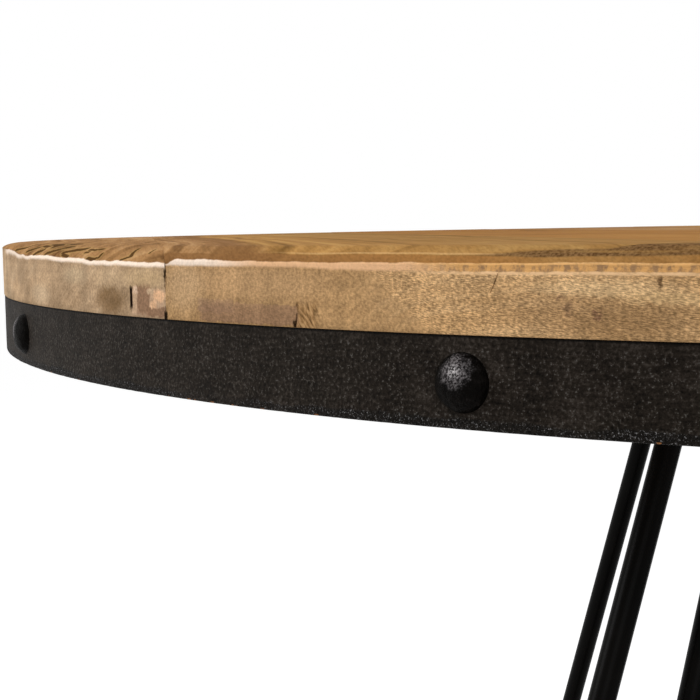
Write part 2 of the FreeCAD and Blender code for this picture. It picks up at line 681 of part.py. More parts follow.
nodes = []
for plank, (low_side, high_side) in enumerate(plank_sides(), start=1):
    nodes.append(make_plank(plank, low_side, high_side))
for segment, segment_angle in enumerate(RIM_ANGLES, start=1):
    nodes.append(make_rim_segment(segment, segment_angle))
for batten_name, batten_place in BATTENS.items():
    nodes.append(make_batten(batten_name, batten_place))
nodes.append(make_band())
nodes.append(make_rivets())
for leg_number in range(1, LEGS + 1):
    nodes.append(make_leg(leg_number))
    nodes.append(make_plate(leg_number))
nodes.append(make_welds())
nodes.append(make_screws("rim_screws", RIM_SCREWS, RIM_UNDERSIDE,
                         "Sizes.rim_thickness + Sizes.screw_bite"))
nodes.append(make_screws("batten_screws", BATTEN_SCREWS, BATTEN_UNDERSIDE,
                         "Sizes.batten_thickness + Sizes.screw_bite"))
nodes.append(make_screws("plate_screws", PLATE_SCREWS, PLATE_UNDERSIDE,
                         "Sizes.plate_thickness + Sizes.screw_bite"))
doc.recompute()

for item in doc.Objects:
    if "Invalid" in item.State or "Error" in item.State:
        raise RuntimeError("%s failed: %s" % (item.Name, item.State))

os.makedirs("parts", exist_ok=True)
for node in nodes:
    shape = node.Shape
    if shape.isNull() or not shape.isValid() or not shape.Solids:
        raise RuntimeError("%s has no sound solid" % node.Label)
    shape.exportStep("parts/%s.step" % node.Label)
    print("%-16s solids %2d volume %.0f" % (node.Label, len(shape.Solids), shape.Volume))
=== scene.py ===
"""Round table: a plank top bound by a riveted iron band, on four legs of bent round bar.

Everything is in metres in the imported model's frame: the floor is at zero, the planks run
along Y, and an angle round the table is counted from -Y towards +X.
"""

import math

import bmesh
import bpy
import numpy as np
from mathutils import Matrix, Vector, noise


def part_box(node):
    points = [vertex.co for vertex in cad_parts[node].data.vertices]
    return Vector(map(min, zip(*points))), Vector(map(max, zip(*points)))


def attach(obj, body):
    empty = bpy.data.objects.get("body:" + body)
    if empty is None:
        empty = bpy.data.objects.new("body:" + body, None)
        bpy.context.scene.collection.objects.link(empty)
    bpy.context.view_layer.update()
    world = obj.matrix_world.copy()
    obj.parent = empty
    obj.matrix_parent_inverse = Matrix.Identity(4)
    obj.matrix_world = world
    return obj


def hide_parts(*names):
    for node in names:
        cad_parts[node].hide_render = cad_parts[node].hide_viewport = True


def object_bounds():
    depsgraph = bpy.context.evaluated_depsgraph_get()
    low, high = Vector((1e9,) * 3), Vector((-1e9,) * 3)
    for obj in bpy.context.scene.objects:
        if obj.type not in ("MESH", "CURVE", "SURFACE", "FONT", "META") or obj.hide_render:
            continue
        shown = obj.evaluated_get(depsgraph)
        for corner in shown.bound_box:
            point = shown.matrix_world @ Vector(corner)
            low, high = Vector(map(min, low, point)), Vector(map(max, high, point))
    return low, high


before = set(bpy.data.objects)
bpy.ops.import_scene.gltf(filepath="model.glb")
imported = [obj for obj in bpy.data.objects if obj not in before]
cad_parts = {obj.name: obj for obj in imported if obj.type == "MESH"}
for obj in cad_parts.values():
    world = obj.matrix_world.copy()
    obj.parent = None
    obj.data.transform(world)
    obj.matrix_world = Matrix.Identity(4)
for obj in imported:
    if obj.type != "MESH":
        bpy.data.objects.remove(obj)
cad_low, cad_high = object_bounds()


# The top is eight hardwood planks glued edge to edge and sawn to a circle. The sawn edge is
# left bare, the upper side is oiled, and its arris is planed round by hand. Plank 1 is worn
# down at its -Y end, so its arris lies two millimetres lower than its neighbour's there.
TOP_HEIGHT = cad_high.z
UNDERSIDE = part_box("plank_1")[0].z
TOP_RADIUS = -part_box("plank_1")[0].x
PLANKS = 8
JOINTS = [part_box("plank_%d" % number)[1].x for number in range(1, PLANKS)]
PLANK_EDGES = [-TOP_RADIUS, *JOINTS, TOP_RADIUS]
RIM_COLUMNS = 1800
LOWER_ARRIS = 0.0002
ROUND_WIDTH = 0.010
ROUND_DEPTH = 0.0062
ROUND_POWER = 1.8
ROUND_STEPS = 18
FACET_FOOT = 0.0084
FACET_INSET = 0.0005
FACET_STEPS = 5
SIDE_STEPS = 13
# Spacing of the rings of the upper side, how far in each spacing reaches, and how many of
# the rim's columns share one there
TOP_ZONES = [(0.0010, 0.585, 1), (0.0016, 0.550, 1), (0.0030, 0.508, 1),
             (0.0045, 0.400, 2), (0.0065, 0.200, 4), (0.0130, 0.030, 8)]
# The columns lie closer together where the plane marks are, between two angles from +X
CLOSE_FROM, CLOSE_TO, CLOSE_SHARE = 188, 213, 0.24
JOINT_GAP = 0.0003
JOINT_ARRIS = 0.0008


def slab_rings():
    """Radius, height and number of columns of each ring, from the underside to the middle."""
    foot = TOP_HEIGHT - FACET_FOOT
    heights = [*np.linspace(UNDERSIDE + LOWER_ARRIS, foot, SIDE_STEPS),
               *np.linspace(foot, TOP_HEIGHT - ROUND_DEPTH, FACET_STEPS)[1:]]
    rings = [(TOP_RADIUS - LOWER_ARRIS, UNDERSIDE, RIM_COLUMNS)]
    rings += [(TOP_RADIUS, height, RIM_COLUMNS) for height in heights]
    power = 2 / ROUND_POWER
    for step in range(1, ROUND_STEPS + 1):
        turn = math.radians(90) * step / ROUND_STEPS
        rings.append((TOP_RADIUS - ROUND_WIDTH * (1 - math.cos(turn) ** power),
                      TOP_HEIGHT - ROUND_DEPTH * (1 - math.sin(turn) ** power), RIM_COLUMNS))
    radius = TOP_RADIUS - ROUND_WIDTH
    for spacing, reach, coarser in TOP_ZONES:
        while radius - spacing > reach:
            radius -= spacing
            rings.append((radius, TOP_HEIGHT, RIM_COLUMNS // coarser))
    return rings


def column_angles(columns):
    """Where the columns of a ring stand, in radians from +X."""
    before = (1 - CLOSE_SHARE) * CLOSE_FROM / (CLOSE_FROM + 360 - CLOSE_TO)
    shares = [0, before, before + CLOSE_SHARE, 1]
    return np.radians(np.interp(np.arange(columns) / columns, shares,
                                [0, CLOSE_FROM, CLOSE_TO, 360]))


def slab_faces(rings):
    """Vertices and faces of the whole top before it is cut into planks."""
    points, faces, starts = [], [], []
    for radius, height, columns in rings:
        starts.append(len(points))
        points += [(radius * math.cos(angle), radius * math.sin(angle), height)
                   for angle in column_angles(columns)]
    for outer, inner in zip(range(len(rings)), range(1, len(rings))):
        many, few = rings[outer][2], rings[inner][2]
        for column in range(few):
            a, b = (starts[inner] + (column + step) % few for step in (0, 1))
            wide = many // few
            first, middle, last = (starts[outer] + (wide * column + step) % many
                                   for step in range(3))
            if wide == 1:
                faces.append((first, middle, b, a))
            else:
                faces += [(first, middle, a), (middle, b, a), (middle, last, b)]
    faces.append(tuple(reversed(range(rings[0][2]))))
    faces.append(tuple(range(starts[-1], len(points))))
    return points, faces


def open_mesh(points, faces):
    mesh = bmesh.new()
    for point in points:
        mesh.verts.new(point)
    mesh.verts.ensure_lookup_table()
    for face in faces:
        mesh.faces.new([mesh.verts[index] for index in face])
    return mesh


def cut(mesh, place, across, faces=None):
    """Cut a mesh, or some of its faces, along a plane."""
    parts = mesh.verts[:] + mesh.edges[:] + mesh.faces[:]
    if faces is not None:
        parts = set(faces)
        for face in faces:
            parts.update(face.edges)
            parts.update(face.verts)
    bmesh.ops.bisect_plane(mesh, geom=list(parts), dist=1e-6, plane_co=place, plane_no=across)


def boards_of(points, faces):
    """The slab sawn along its joints, as one open mesh for each plank."""
    slab = open_mesh(points, faces)
    for joint in JOINTS:
        cut(slab, (joint, 0, 0), (1, 0, 0))
    slab.verts.index_update()
    co = np.array([vertex.co[:] for vertex in slab.verts])
    loops = [[vertex.index for vertex in face.verts] for face in slab.faces]
    slab.free()
    owners = np.searchsorted(JOINTS, [co[loop, 0].mean() for loop in loops])
    for plank in range(PLANKS):
        mine = [loops[index] for index in np.flatnonzero(owners == plank)]
        used = sorted({index for loop in mine for index in loop})
        order = {index: place for place, index in enumerate(used)}
        yield open_mesh(co[used], [[order[index] for index in loop] for loop in mine])


def smooth_step(low, high, amounts):
    share = np.clip((amounts - low) / (high - low), 0, 1)
    return share * share * (3 - 2 * share)


def wavy(points, scale, seed):
    """Smooth noise between -1 and 1 at each point."""
    shift = Vector((seed * 7.31, seed * 3.77, seed * 5.13))
    return np.array([noise.noise(Vector(point) * scale + shift) for point in points])


# Marks of a coarse plane across the rounded arris of plank 1, as strokes from end to end.
# Each place is an angle and a distance in millimetres up the round from its middle, and the
# run from there has half its width in millimetres and its depth in hundredths of one.
PLANE_MARKS = [
    [(-76.65, -3.8, 1.7, 18), (-75.30, 1.8, 1.6, 12), (-75.25, 8.6)],
    [(-74.30, -1.8, 1.5, 18), (-73.90, 0.9, 1.7, 15), (-73.25, 4.4)],
    [(-72.70, -3.6, 1.8, 36), (-72.45, -1.0, 2.0, 30), (-71.95, 1.5)],
    [(-70.90, -1.2, 1.7, 24), (-70.35, 0.7, 2.0, 18), (-69.80, 3.7)],
    [(-71.25, 6.9, 2.8, 10), (-71.15, 8.6, 3.0, 8), (-73.50, 15.0)],
    [(-69.50, 6.9, 2.6, 10), (-69.15, 7.9)],
    [(-68.75, 0.9, 1.6, 18), (-67.90, 3.9, 2.1, 12), (-67.05, 6.7)],
    [(-73.15, 6.9, 1.5, 8), (-72.05, 5.9)],
    [(-70.90, 16.0, 3.4, 6), (-72.80, 22.0)],
    [(-66.45, 5.7, 1.2, 8), (-65.75, 5.7)],
    [(-68.55, -1.0, 1.2, 15), (-67.80, -2.2)],
    [(-65.55, -2.2, 1.2, 15), (-65.00, -3.1, 1.2, 12), (-64.75, -1.8)],
    [(-64.55, -1.2, 0.9, 10), (-64.70, 2.9)],
    [(-65.55, 6.9, 1.4, 8), (-65.30, 7.1)],
    [(-66.45, 2.4, 1.0, 8), (-66.10, 2.6)],
    [(-62.55, -2.4, 1.0, 20), (-61.95, 1.1, 1.1, 20), (-62.15, 3.7, 0.9, 12), (-62.45, 9.6)],
    [(-60.90, 4.4, 0.6, 8), (-61.00, 8.3)],
]


def mark_share(angle, climb):
    """How far each place lies down a plane mark, from 0 to 1, and the depth there."""
    share, depth = np.zeros((2, len(angle)))
    rim = TOP_RADIUS * 1000
    run = np.radians(angle) * rim
    for mark in PLANE_MARKS:
        for (angle_0, climb_0, half_width, deep), (angle_1, climb_1, *_) in zip(mark, mark[1:]):
            run_0, run_1 = (math.radians(end) * rim for end in (angle_0, angle_1))
            along, up = run_1 - run_0, climb_1 - climb_0
            passed = (run - run_0) * along + (climb - climb_0) * up
            passed = np.clip(passed / (along ** 2 + up ** 2), 0, 1)
            away = np.hypot(run - run_0 - passed * along, climb - climb_0 - passed * up)
            here = np.exp(-(away / half_width) ** 2)
            share = np.maximum(share, here)
            depth = np.maximum(depth, here * deep * 1e-5)
    return share, depth


# How far each plank's upper side lies below the highest, at its -Y end and its +Y end
PLANK_LEVELS = {1: (0.0021, 0.0001), 2: (0.0, 0.0001), 3: (0.0003, 0.0), 4: (0.0, 0.0002),
                5: (0.0004, 0.0001), 6: (0.0, 0.0002), 7: (0.0004, 0.0001), 8: (0.0002, 0.0003)}
# How much of each plank's arris keeps the plane's flat facet. On plank 2 the facet runs in
# between two angles, and it is fainter at the back
PLANK_FACETS = {1: 0.0, 2: 1.0, 3: 1.0, 4: 0.35, 5: 0.8, 6: 0.0, 7: 0.6, 8: 0.2}
FACET_RUN_IN = (-47.6, -44.4)
BACK_FACET = 0.4
# Where plank 1 sinks, towards -Y and inward from the rim, and where its arris is unworn
TWIST_ALONG = (0.125, 0.309)
TWIST_INWARD = (0.003, 0.020)
UNWORN_ANGLES = (72.0, 79.0)
UNWORN_FADE = 0.006
UNWORN_RAISE = 0.54
SINK_STARTS = UNDERSIDE + 0.010
# The arris wears down a little all round, in long and short waves
WEAR_INWARD, WEAR_DOWN = 0.006, 0.002
WEAR_DEPTH, WEAR_SHORT, WEAR_LONG = 0.0003, 0.00025, 0.0004
SAWN_ROUGH = 0.00010
MARK_FOOT = 0.0012
JOINT_DROP, FIRST_JOINT_DROP, JOINT_INSET = 0.0003, 0.0001, 0.00006
# Where joint 1 gapes on the sawn edge, as depths below the top, and how far in
FIRST_JOINT_GAPES = [(0.0068, 0.0120), (0.0245, 0.0290)]
GAPING_DEPTH = 0.006


def weather(board, number):
    """Move a plank's vertices to its uneven level, worn arris, gaping joint and plane marks.

    The result for each vertex is its depth below its own plank's upper side in millimetres,
    its share of a plane mark, its share of the facet and its share of the underside.
    """
    co = np.array([vertex.co[:] for vertex in board.verts])
    x, y, z = co.T
    radius = np.hypot(x, y)
    inward, below = TOP_RADIUS - radius, TOP_HEIGHT - z
    out_x, out_y = x / np.maximum(radius, 1e-6), y / np.maximum(radius, 1e-6)
    angle = np.degrees(np.arctan2(x, -y))

    near, far = PLANK_LEVELS[number]
    facet = np.full_like(x, PLANK_FACETS[number])
    mark, depth, unworn = np.zeros((3, len(x)))
    if number == 1:
        level = near * smooth_step(*TWIST_ALONG, -y) + far * (y > 0)
        level *= 1 - smooth_step(*TWIST_INWARD, inward)
        unworn = smooth_step(*UNWORN_ANGLES, -angle)
        unworn = unworn * (1 - smooth_step(ROUND_DEPTH, ROUND_DEPTH + UNWORN_FADE, below))
        mark, depth = mark_share(angle, (inward - below) * 1000)
    else:
        nearer = min(abs(edge) for edge in PLANK_EDGES[number - 1:number + 1])
        end = math.sqrt(TOP_RADIUS ** 2 - nearer ** 2)
        level = near + (far - near) * smooth_step(-end, end, y)
    if number == 2:
        facet = np.where(y < 0, smooth_step(*FACET_RUN_IN, angle), BACK_FACET)

    lift = (z - SINK_STARTS) / (TOP_HEIGHT - ROUND_DEPTH - SINK_STARTS)
    sink = level * np.clip(lift, 0, 1) - UNWORN_RAISE * unworn * np.minimum(below, ROUND_DEPTH)
    rim_zone = np.exp(-(inward / WEAR_INWARD) ** 2)
    rim_zone *= np.exp(-np.maximum(below - ROUND_DEPTH, 0) / WEAR_DOWN)
    edge = np.flatnonzero((rim_zone > 0.02) & (inward < 0.02))
    rim_line = np.column_stack((x, y, np.full_like(x, number)))[edge]
    worn = np.full_like(x, WEAR_DEPTH)
    worn[edge] += wavy(rim_line, 85, 11) * WEAR_SHORT + wavy(rim_line, 22, 12) * WEAR_LONG
    sink += rim_zone * worn * (1 - unworn)
    sink += depth * (1 - smooth_step(ROUND_DEPTH, ROUND_DEPTH + MARK_FOOT, below) * 0.9)

    side = below > ROUND_DEPTH - 1e-5
    rough = np.flatnonzero(side & (inward < 0.001))
    push = np.zeros_like(x)
    push[rough] = SAWN_ROUGH * (1 + wavy(co[rough], 90.0, 14))
    chamfer = np.clip((FACET_FOOT - below) / (FACET_FOOT - ROUND_DEPTH), 0, 1)
    push += facet * chamfer * FACET_INSET * (inward < WEAR_INWARD)
    for joint in {number - 1, number} - {0, PLANKS}:
        away = np.abs(x - PLANK_EDGES[joint])
        near_joint = np.exp(-(away / JOINT_ARRIS) ** 2)
        drop = FIRST_JOINT_DROP if joint == 1 else JOINT_DROP
        sink += np.where(below < 0.008, near_joint * drop, 0)
        push += np.where(side, near_joint * JOINT_INSET, 0)
        for shallow, deep in FIRST_JOINT_GAPES if joint == 1 else ():
            opened = (away < 1e-5) & (below > shallow) & (below < deep)
            y = np.where(opened & (y < 0) & (inward < 0.002), y + GAPING_DEPTH, y)
    moved = np.column_stack((x - out_x * push, y - out_y * push, z - sink))
    for vertex, place in zip(board.verts, moved):
        vertex.co = place
    return {"below": below * 1000, "mark": mark, "facet": facet,
            "under": (z < UNDERSIDE + 1e-5).astype(float)}


# Cracks of each plank's sawn edge: the angle, the depths below the top, the lean from
# upright in degrees, the width and how deep each goes
CRACKS = {1: [(-61.5, 0.0158, 0.0248, 0, 0.0011, 0.005)],
          2: [(-51.72, 0.0232, 0.0281, 12, 0.0009, 0.004),
              (-43.93, 0.0090, 0.0142, 24, 0.0004, 0.0008)]}
CRACK_NEAR = 0.012
CRACK_SKIN = 0.002


def rim_ways(angle):
    """The ways out from the table's axis and along its rim at an angle."""
    return (Vector((math.sin(angle), -math.cos(angle), 0)),
            Vector((math.cos(angle), math.sin(angle), 0)))


def open_crack(board, angle, upper, lower, lean, width, deep):
    """A narrow V cut into the sawn edge."""
    outward, sideways = rim_ways(math.radians(angle))
    top, bottom = TOP_HEIGHT - upper, TOP_HEIGHT - lower
    middle = outward * TOP_RADIUS + Vector((0, 0, (top + bottom) / 2))
    lean = math.radians(lean)
    across = sideways * math.cos(lean) - Vector((0, 0, math.sin(lean)))
    for shift in (-width / 2, 0, width / 2):
        faces = []
        for face in board.faces:
            place = face.calc_center_median() - middle
            if place.length < CRACK_NEAR and place.dot(outward) > -CRACK_SKIN:
                faces.append(face)
        cut(board, middle + across * shift, across, faces)
    for vertex in board.verts:
        place = vertex.co - middle
        if (abs(place.dot(across)) < 2e-5 and bottom < vertex.co.z < top
                and abs(place.dot(outward)) < CRACK_SKIN and place.length < CRACK_NEAR):
            vertex.co -= outward * deep


def finished_board(board, number):
    """A plank's mesh: joints eased, edges weathered, cracks opened and its sides closed."""
    for edge, inside in ((number - 1, 1), (number, -1)):
        if 0 < edge < PLANKS:
            for offset in (JOINT_GAP, JOINT_ARRIS, JOINT_ARRIS * 2):
                cut(board, (PLANK_EDGES[edge] + inside * offset, 0, 0), (1, 0, 0))
    for name, values in weather(board, number).items():
        layer = board.verts.layers.float.new(name)
        for vertex, share in zip(board.verts, values):
            vertex[layer] = share
    for crack in CRACKS.get(number, []):
        open_crack(board, *crack)
    bmesh.ops.holes_fill(board, edges=[edge for edge in board.edges if edge.is_boundary])
    return closed_mesh("plank_%d_sawn" % number, board, 50)


def closed_mesh(name, shape, sharp):
    """The finished mesh of a shape, smooth but for its edges sharper than an angle."""
    bmesh.ops.recalc_face_normals(shape, faces=shape.faces)
    mesh = bpy.data.meshes.new(name)
    shape.to_mesh(mesh)
    shape.free()
    mesh.polygons.foreach_set("use_smooth", [True] * len(mesh.polygons))
    mesh.set_sharp_from_angle(angle=math.radians(sharp))
    return mesh


def arithmetic(operation, swapped=False):
    """A method that makes one math node from an amount and another amount or number."""
    def work(self, other=0.0):
        pair = (other, self) if swapped else (self, other)
        return self.nodes.node("ShaderNodeMath", dict(enumerate(pair)), operation=operation)
    return work


class Amount:
    """One node's output, on which plain arithmetic builds the next nodes."""

    def __init__(self, nodes, socket):
        self.nodes = nodes
        self.socket = socket

    __add__ = __radd__ = arithmetic("ADD")
    __mul__ = __rmul__ = arithmetic("MULTIPLY")
    __sub__ = arithmetic("SUBTRACT")
    __rsub__ = arithmetic("SUBTRACT", swapped=True)
    __abs__ = arithmetic("ABSOLUTE")
    root = arithmetic("SQRT")
    larger = arithmetic("MAXIMUM")
    bearing = arithmetic("ARCTAN2")

    def step(self, low, high, out_low=0.0, out_high=1.0):
        """A smooth step from one value to another as this goes from low to high."""
        return self.nodes.node(
            "ShaderNodeMapRange", {"Value": self, "From Min": low, "From Max": high,
                                   "To Min": out_low, "To Max": out_high},
            interpolation_type="SMOOTHSTEP")

    def fall(self, low, high):
        """A smooth step down from one to nought as this goes from low to high."""
        return self.step(low, high, 1.0, 0.0)

    def span(self, other):
        """The distance over this and another way at a right angle to it."""
        return (self * self + other * other).root()

    def noise(self, scale, detail=2.0, rough=0.5):
        """Noise over a place, with one scale or one for each axis, in cycles to the metre."""
        scale = scale if isinstance(scale, tuple) else (scale,) * 3
        stretched = self.nodes.node("ShaderNodeMapping", {"Vector": self, "Scale": scale})
        return self.nodes.node("ShaderNodeTexNoise", {"Vector": stretched, "Scale": 1.0,
                                                      "Detail": detail, "Roughness": rough})

    def line_noise(self, scale, detail=3.0):
        """Noise that depends on this one number only."""
        return self.nodes.node("ShaderNodeTexNoise", {"W": self, "Scale": scale, "Detail": detail,
                                                      "Roughness": 0.55}, noise_dimensions="1D")

    def ramp(self, colours):
        """Colours laid evenly along this number."""
        laid = self.nodes.node("ShaderNodeValToRGB", {0: self})
        stops = laid.socket.node.color_ramp.elements
        while len(stops) < len(colours):
            stops.new(0.5)
        for index, colour in enumerate(colours):
            stops[index].position = index / (len(colours) - 1)
            stops[index].color = (*colour, 1)
        return laid


class Nodes:
    """The node tree of a material or the world."""

    def __init__(self, owner):
        owner.use_nodes = True
        self.tree = owner.node_tree

    def node(self, kind, inputs=(), output=0, **settings):
        """Make a node, set it up, feed its inputs, and give one of its outputs."""
        made = self.tree.nodes.new(kind)
        for name, setting in settings.items():
            setattr(made, name, setting)
        for name, source in dict(inputs).items():
            self.feed(made.inputs[name], source)
        return Amount(self, made.outputs[output])

    def feed(self, socket, source):
        """Give a socket either a plain value or another node's output."""
        if isinstance(source, Amount):
            self.tree.links.new(source.socket, socket)
        else:
            socket.default_value = (*source, 1) if socket.type == "RGBA" else source


class Finish(Nodes):
    """A material with one principled shader."""

    def __init__(self, name, roughness, gloss):
        self.material = bpy.data.materials.new(name)
        super().__init__(self.material)
        self.shader = self.tree.nodes["Principled BSDF"].inputs
        self.shader["Roughness"].default_value = roughness
        self.shader["Specular IOR Level"].default_value = gloss
        self.place = self.node("ShaderNodeTexCoord", output="Object")
        self.x, self.y, self.z = self.axes(self.place)

    def axes(self, place):
        parts = self.node("ShaderNodeSeparateXYZ", {0: place}).socket.node
        return [Amount(self, socket) for socket in parts.outputs]

    def vector(self, *axes):
        return self.node("ShaderNodeCombineXYZ", dict(enumerate(axes)))

    def mesh_share(self, name):
        return self.node("ShaderNodeAttribute", output="Fac", attribute_name=name)

    def mix(self, share, first, second):
        return self.node("ShaderNodeMix", {0: share, 6: first, 7: second}, 2, data_type="RGBA")

    def shaded(self, colour, *tones):
        """A colour made darker or lighter by one number after another."""
        for tone in tones:
            colour = self.node("ShaderNodeVectorMath", {0: colour, "Scale": tone},
                               operation="SCALE")
        return colour

    def done(self, colour, height, distance, strength):
        """Colour the surface, roughen it by a height, and give the material."""
        self.feed(self.shader["Base Color"], colour)
        self.feed(self.shader["Normal"], self.node(
            "ShaderNodeBump", {"Height": height, "Distance": distance, "Strength": strength}))
        return self.material


# Tones of the wood from dark to light: the bare sawn side, then the oiled upper side
SIDE_GREY = [(0.22, 0.14, 0.075), (0.42, 0.285, 0.170), (0.56, 0.41, 0.265)]
SIDE_GOLD = [(0.27, 0.155, 0.068), (0.475, 0.285, 0.130), (0.62, 0.400, 0.205)]
UPPER_BROWN = [(0.12, 0.055, 0.018), (0.33, 0.175, 0.070), (0.50, 0.30, 0.14)]
UPPER_OLIVE = [(0.17, 0.085, 0.024), (0.37, 0.195, 0.060), (0.48, 0.28, 0.095)]
UPPER_RED = [(0.15, 0.066, 0.021), (0.325, 0.152, 0.044), (0.44, 0.235, 0.066)]

# Each plank's side and upper tones, how strong the short wavy flecks of its sawn side are,
# and where the heart of its tree lay: across from the plank's middle, and up
PLANK_WOOD = {
    1: (SIDE_GREY, UPPER_BROWN, 0.15, (0.055, -0.060)),
    2: (SIDE_GOLD, UPPER_OLIVE, 1.00, (0.020, -0.090)),
    3: (SIDE_GOLD, UPPER_RED, 0.80, (-0.170, -0.040)),
    4: (SIDE_GREY, UPPER_BROWN, 0.40, (-0.010, -0.070)),
    5: (SIDE_GOLD, UPPER_OLIVE, 0.70, (0.190, 0.020)),
    6: (SIDE_GOLD, UPPER_RED, 0.90, (0.030, 0.110)),
    7: (SIDE_GREY, UPPER_OLIVE, 0.30, (-0.060, -0.080)),
    8: (SIDE_GOLD, UPPER_BROWN, 0.60, (0.020, -0.060)),
}
KNOTS = {3: (-0.215, 0.235, 0.013), 4: (-0.100, -0.205, 0.010), 5: (0.062, 0.330, 0.012),
         6: (0.262, -0.150, 0.015), 7: (0.398, 0.085, 0.009)}
KNOT_DARK = (0.085, 0.038, 0.015)
PLANK_SHIFT = Vector((0.37, 1.91, 0.53))
FLECK_SLANT = 0.13

# Stains, fillings and specks of the sawn side, and painted shade in its cracks and in the gapes of
# joint 1, in the order they lie over each other. Each has its angle and half its width in degrees,
# its depth below the top and half its height in millimetres, its colour, its strength, and how soft
# and ragged its border is.
MAUVE = (0.240, 0.136, 0.079)
PEACH = (0.720, 0.430, 0.245)
# The first two are painted shade in the cracks and the gapes of joint 1
GAP_SHADE = (0.012, 0.006, 0.003)
JOINT_GAPE_SHADE = (0.020, 0.010, 0.004)
JOINT_BROWN = (0.080, 0.040, 0.018)
STAINS = {
    1: [("round", -60.5, 1.7, 11.0, 4.8, (0.500, 0.345, 0.185), 0.60, 0.6, 2.0),
        ("round", -63.3, 1.1, 22.0, 6.5, (0.195, 0.110, 0.046), 0.72, 0.55, 2.2),
        ("round", -63.2, 1.6, 12.0, 4.5, (0.600, 0.420, 0.250), 0.55, 0.6, 2.0),
        ("round", -66.8, 1.2, 12.0, 4.0, (0.50, 0.37, 0.23), 0.55, 0.6, 1.0),
        ("round", -71.5, 1.4, 22.5, 4.5, (0.54, 0.40, 0.26), 0.55, 0.6, 1.0),
        ("round", -75.5, 1.0, 14.0, 5.0, (0.30, 0.21, 0.13), 0.50, 0.6, 1.0),
        ("box", -60.3, 1.22, 22.0, 5.6, (0.50, 0.33, 0.21), 0.85, 0.12, 0.6),
        ("box", -60.58, 0.48, 20.8, 6.0, MAUVE, 0.9, 0.25, 1.3),
        ("box", -61.18, 0.14, 17.0, 1.6, (0.620, 0.430, 0.300), 0.85, 0.35, 0.6),
        ("round", -60.05, 0.26, 17.4, 1.4, (0.560, 0.390, 0.245), 0.80, 0.35, 0.8),
        ("box", -59.6, 0.70, 25.6, 1.9, MAUVE, 0.9, 0.25, 1.0),
        ("round", -59.42, 0.42, 19.2, 2.6, PEACH, 0.9, 0.35, 1.0),
        ("round", -59.85, 0.22, 22.6, 1.7, PEACH, 0.85, 0.35, 1.0),
        # Painted shade in the crack, then in the two gapes of joint 1 with a brown joint line
        # between
        ("box", -61.5, 0.10, 20.2, 4.5, GAP_SHADE, 1.0, 0.30, 0.25),
        ("box", -59.03, 0.04, 9.4, 2.7, JOINT_GAPE_SHADE, 0.95, 0.5, 0.7),
        ("box", -59.02, 0.03, 14.0, 2.2, JOINT_BROWN, 0.70, 0.7, 1.6),
        ("box", -59.04, 0.06, 27.0, 1.9, GAP_SHADE, 0.98, 0.35, 0.3)],
    2: [("box", -54.2, 2.6, 24.0, 3.6, (0.272, 0.158, 0.088), 0.9, 0.07, 0.9),
        ("box", -55.9, 1.0, 21.6, 2.6, (0.285, 0.168, 0.098), 0.8, 0.10, 1.2),
        ("round", -54.4, 3.4, 13.2, 6.5, (0.550, 0.340, 0.170), 0.60, 0.6, 2.0),
        ("round", -57.8, 1.1, 15.0, 9.0, (0.540, 0.360, 0.200), 0.50, 0.6, 2.0),
        ("box", -51.66, 0.05, 21.5, 1.8, (0.110, 0.060, 0.026), 0.70, 0.5, 1.4),
        # Painted shade low in the crack, then in the two gapes of joint 1 with a brown joint line
        # between
        ("box", -51.80, 0.07, 26.8, 1.3, (0.014, 0.007, 0.003), 0.97, 0.5, 1.0),
        ("box", -58.96, 0.04, 9.4, 2.6, JOINT_GAPE_SHADE, 0.95, 0.5, 0.7),
        ("box", -58.96, 0.03, 14.0, 2.2, JOINT_BROWN, 0.70, 0.7, 1.6),
        ("box", -58.95, 0.07, 27.0, 1.9, GAP_SHADE, 0.98, 0.35, 0.3),
        ("round", -41.2, 2.1, 19.5, 8.0, (0.285, 0.168, 0.080), 0.50, 0.7, 2.5),
        ("round", -38.4, 2.6, 23.0, 6.0, (0.265, 0.150, 0.064), 0.60, 0.7, 2.5),
        ("round", -40.5, 1.9, 12.7, 2.3, (0.740, 0.500, 0.260), 0.60, 0.6, 1.6),
        ("round", -38.4, 1.6, 15.4, 1.8, (0.700, 0.470, 0.230), 0.50, 0.6, 1.6),
        ("round", -41.55, 0.12, 18.8, 1.9, (0.130, 0.072, 0.042), 0.70, 0.7, 2.4),
        ("round", -41.85, 0.12, 15.6, 1.0, (0.140, 0.076, 0.046), 0.60, 0.7, 2.2),
        ("round", -40.70, 0.06, 20.6, 1.0, (0.135, 0.060, 0.040), 0.70, 0.9, 2.4),
        ("round", -38.85, 0.05, 10.8, 2.2, (0.130, 0.068, 0.030), 0.85, 0.6, 0.8)],
}
TORN_GRAIN = ("box", -51.2, 0.42, 24.0, 4.4, None, 0.8, 0.5, 2.2)
TORN_TONES = [(0.070, 0.034, 0.011), (0.29, 0.155, 0.060), (0.52, 0.31, 0.14)]
# Where the flecks of plank 2 start: an angle, the depth it is taken at, degrees per millimetre
FLECKS_START = (-48.7, 7.0, 0.118)
SEAM_BROWN = (0.20, 0.095, 0.033)
STREAK_TONES = [(0.085, 0.040, 0.014), (0.200, 0.110, 0.044)]
# Painted highlight beside the plane marks, and painted shade in them
MARK_HIGHLIGHT = (0.40, 0.255, 0.085)
MARK_SHADE = (0.066, 0.030, 0.008)
# Rubbed wood of the arris with a painted highlight: a pale strip and a peach one
PALE_ARRIS_HIGHLIGHT = (0.88, 0.72, 0.59)
PEACH_ARRIS_HIGHLIGHT = (0.76, 0.45, 0.245)
# Painted highlight lines along the facet's crest and along its foot
ORANGE_CREST_HIGHLIGHT = (0.78, 0.43, 0.16)
FACET_FOOT_HIGHLIGHT = (0.78, 0.50, 0.27)
FACET_ORANGE = (0.62, 0.33, 0.115)
FACET_SMUDGE = (0.29, 0.165, 0.080)
PILLOW_BROWN = (0.285, 0.130, 0.038)
PILLOW_DARK = (0.215, 0.103, 0.037)
PILLOW_LINE = (0.520, 0.310, 0.130)


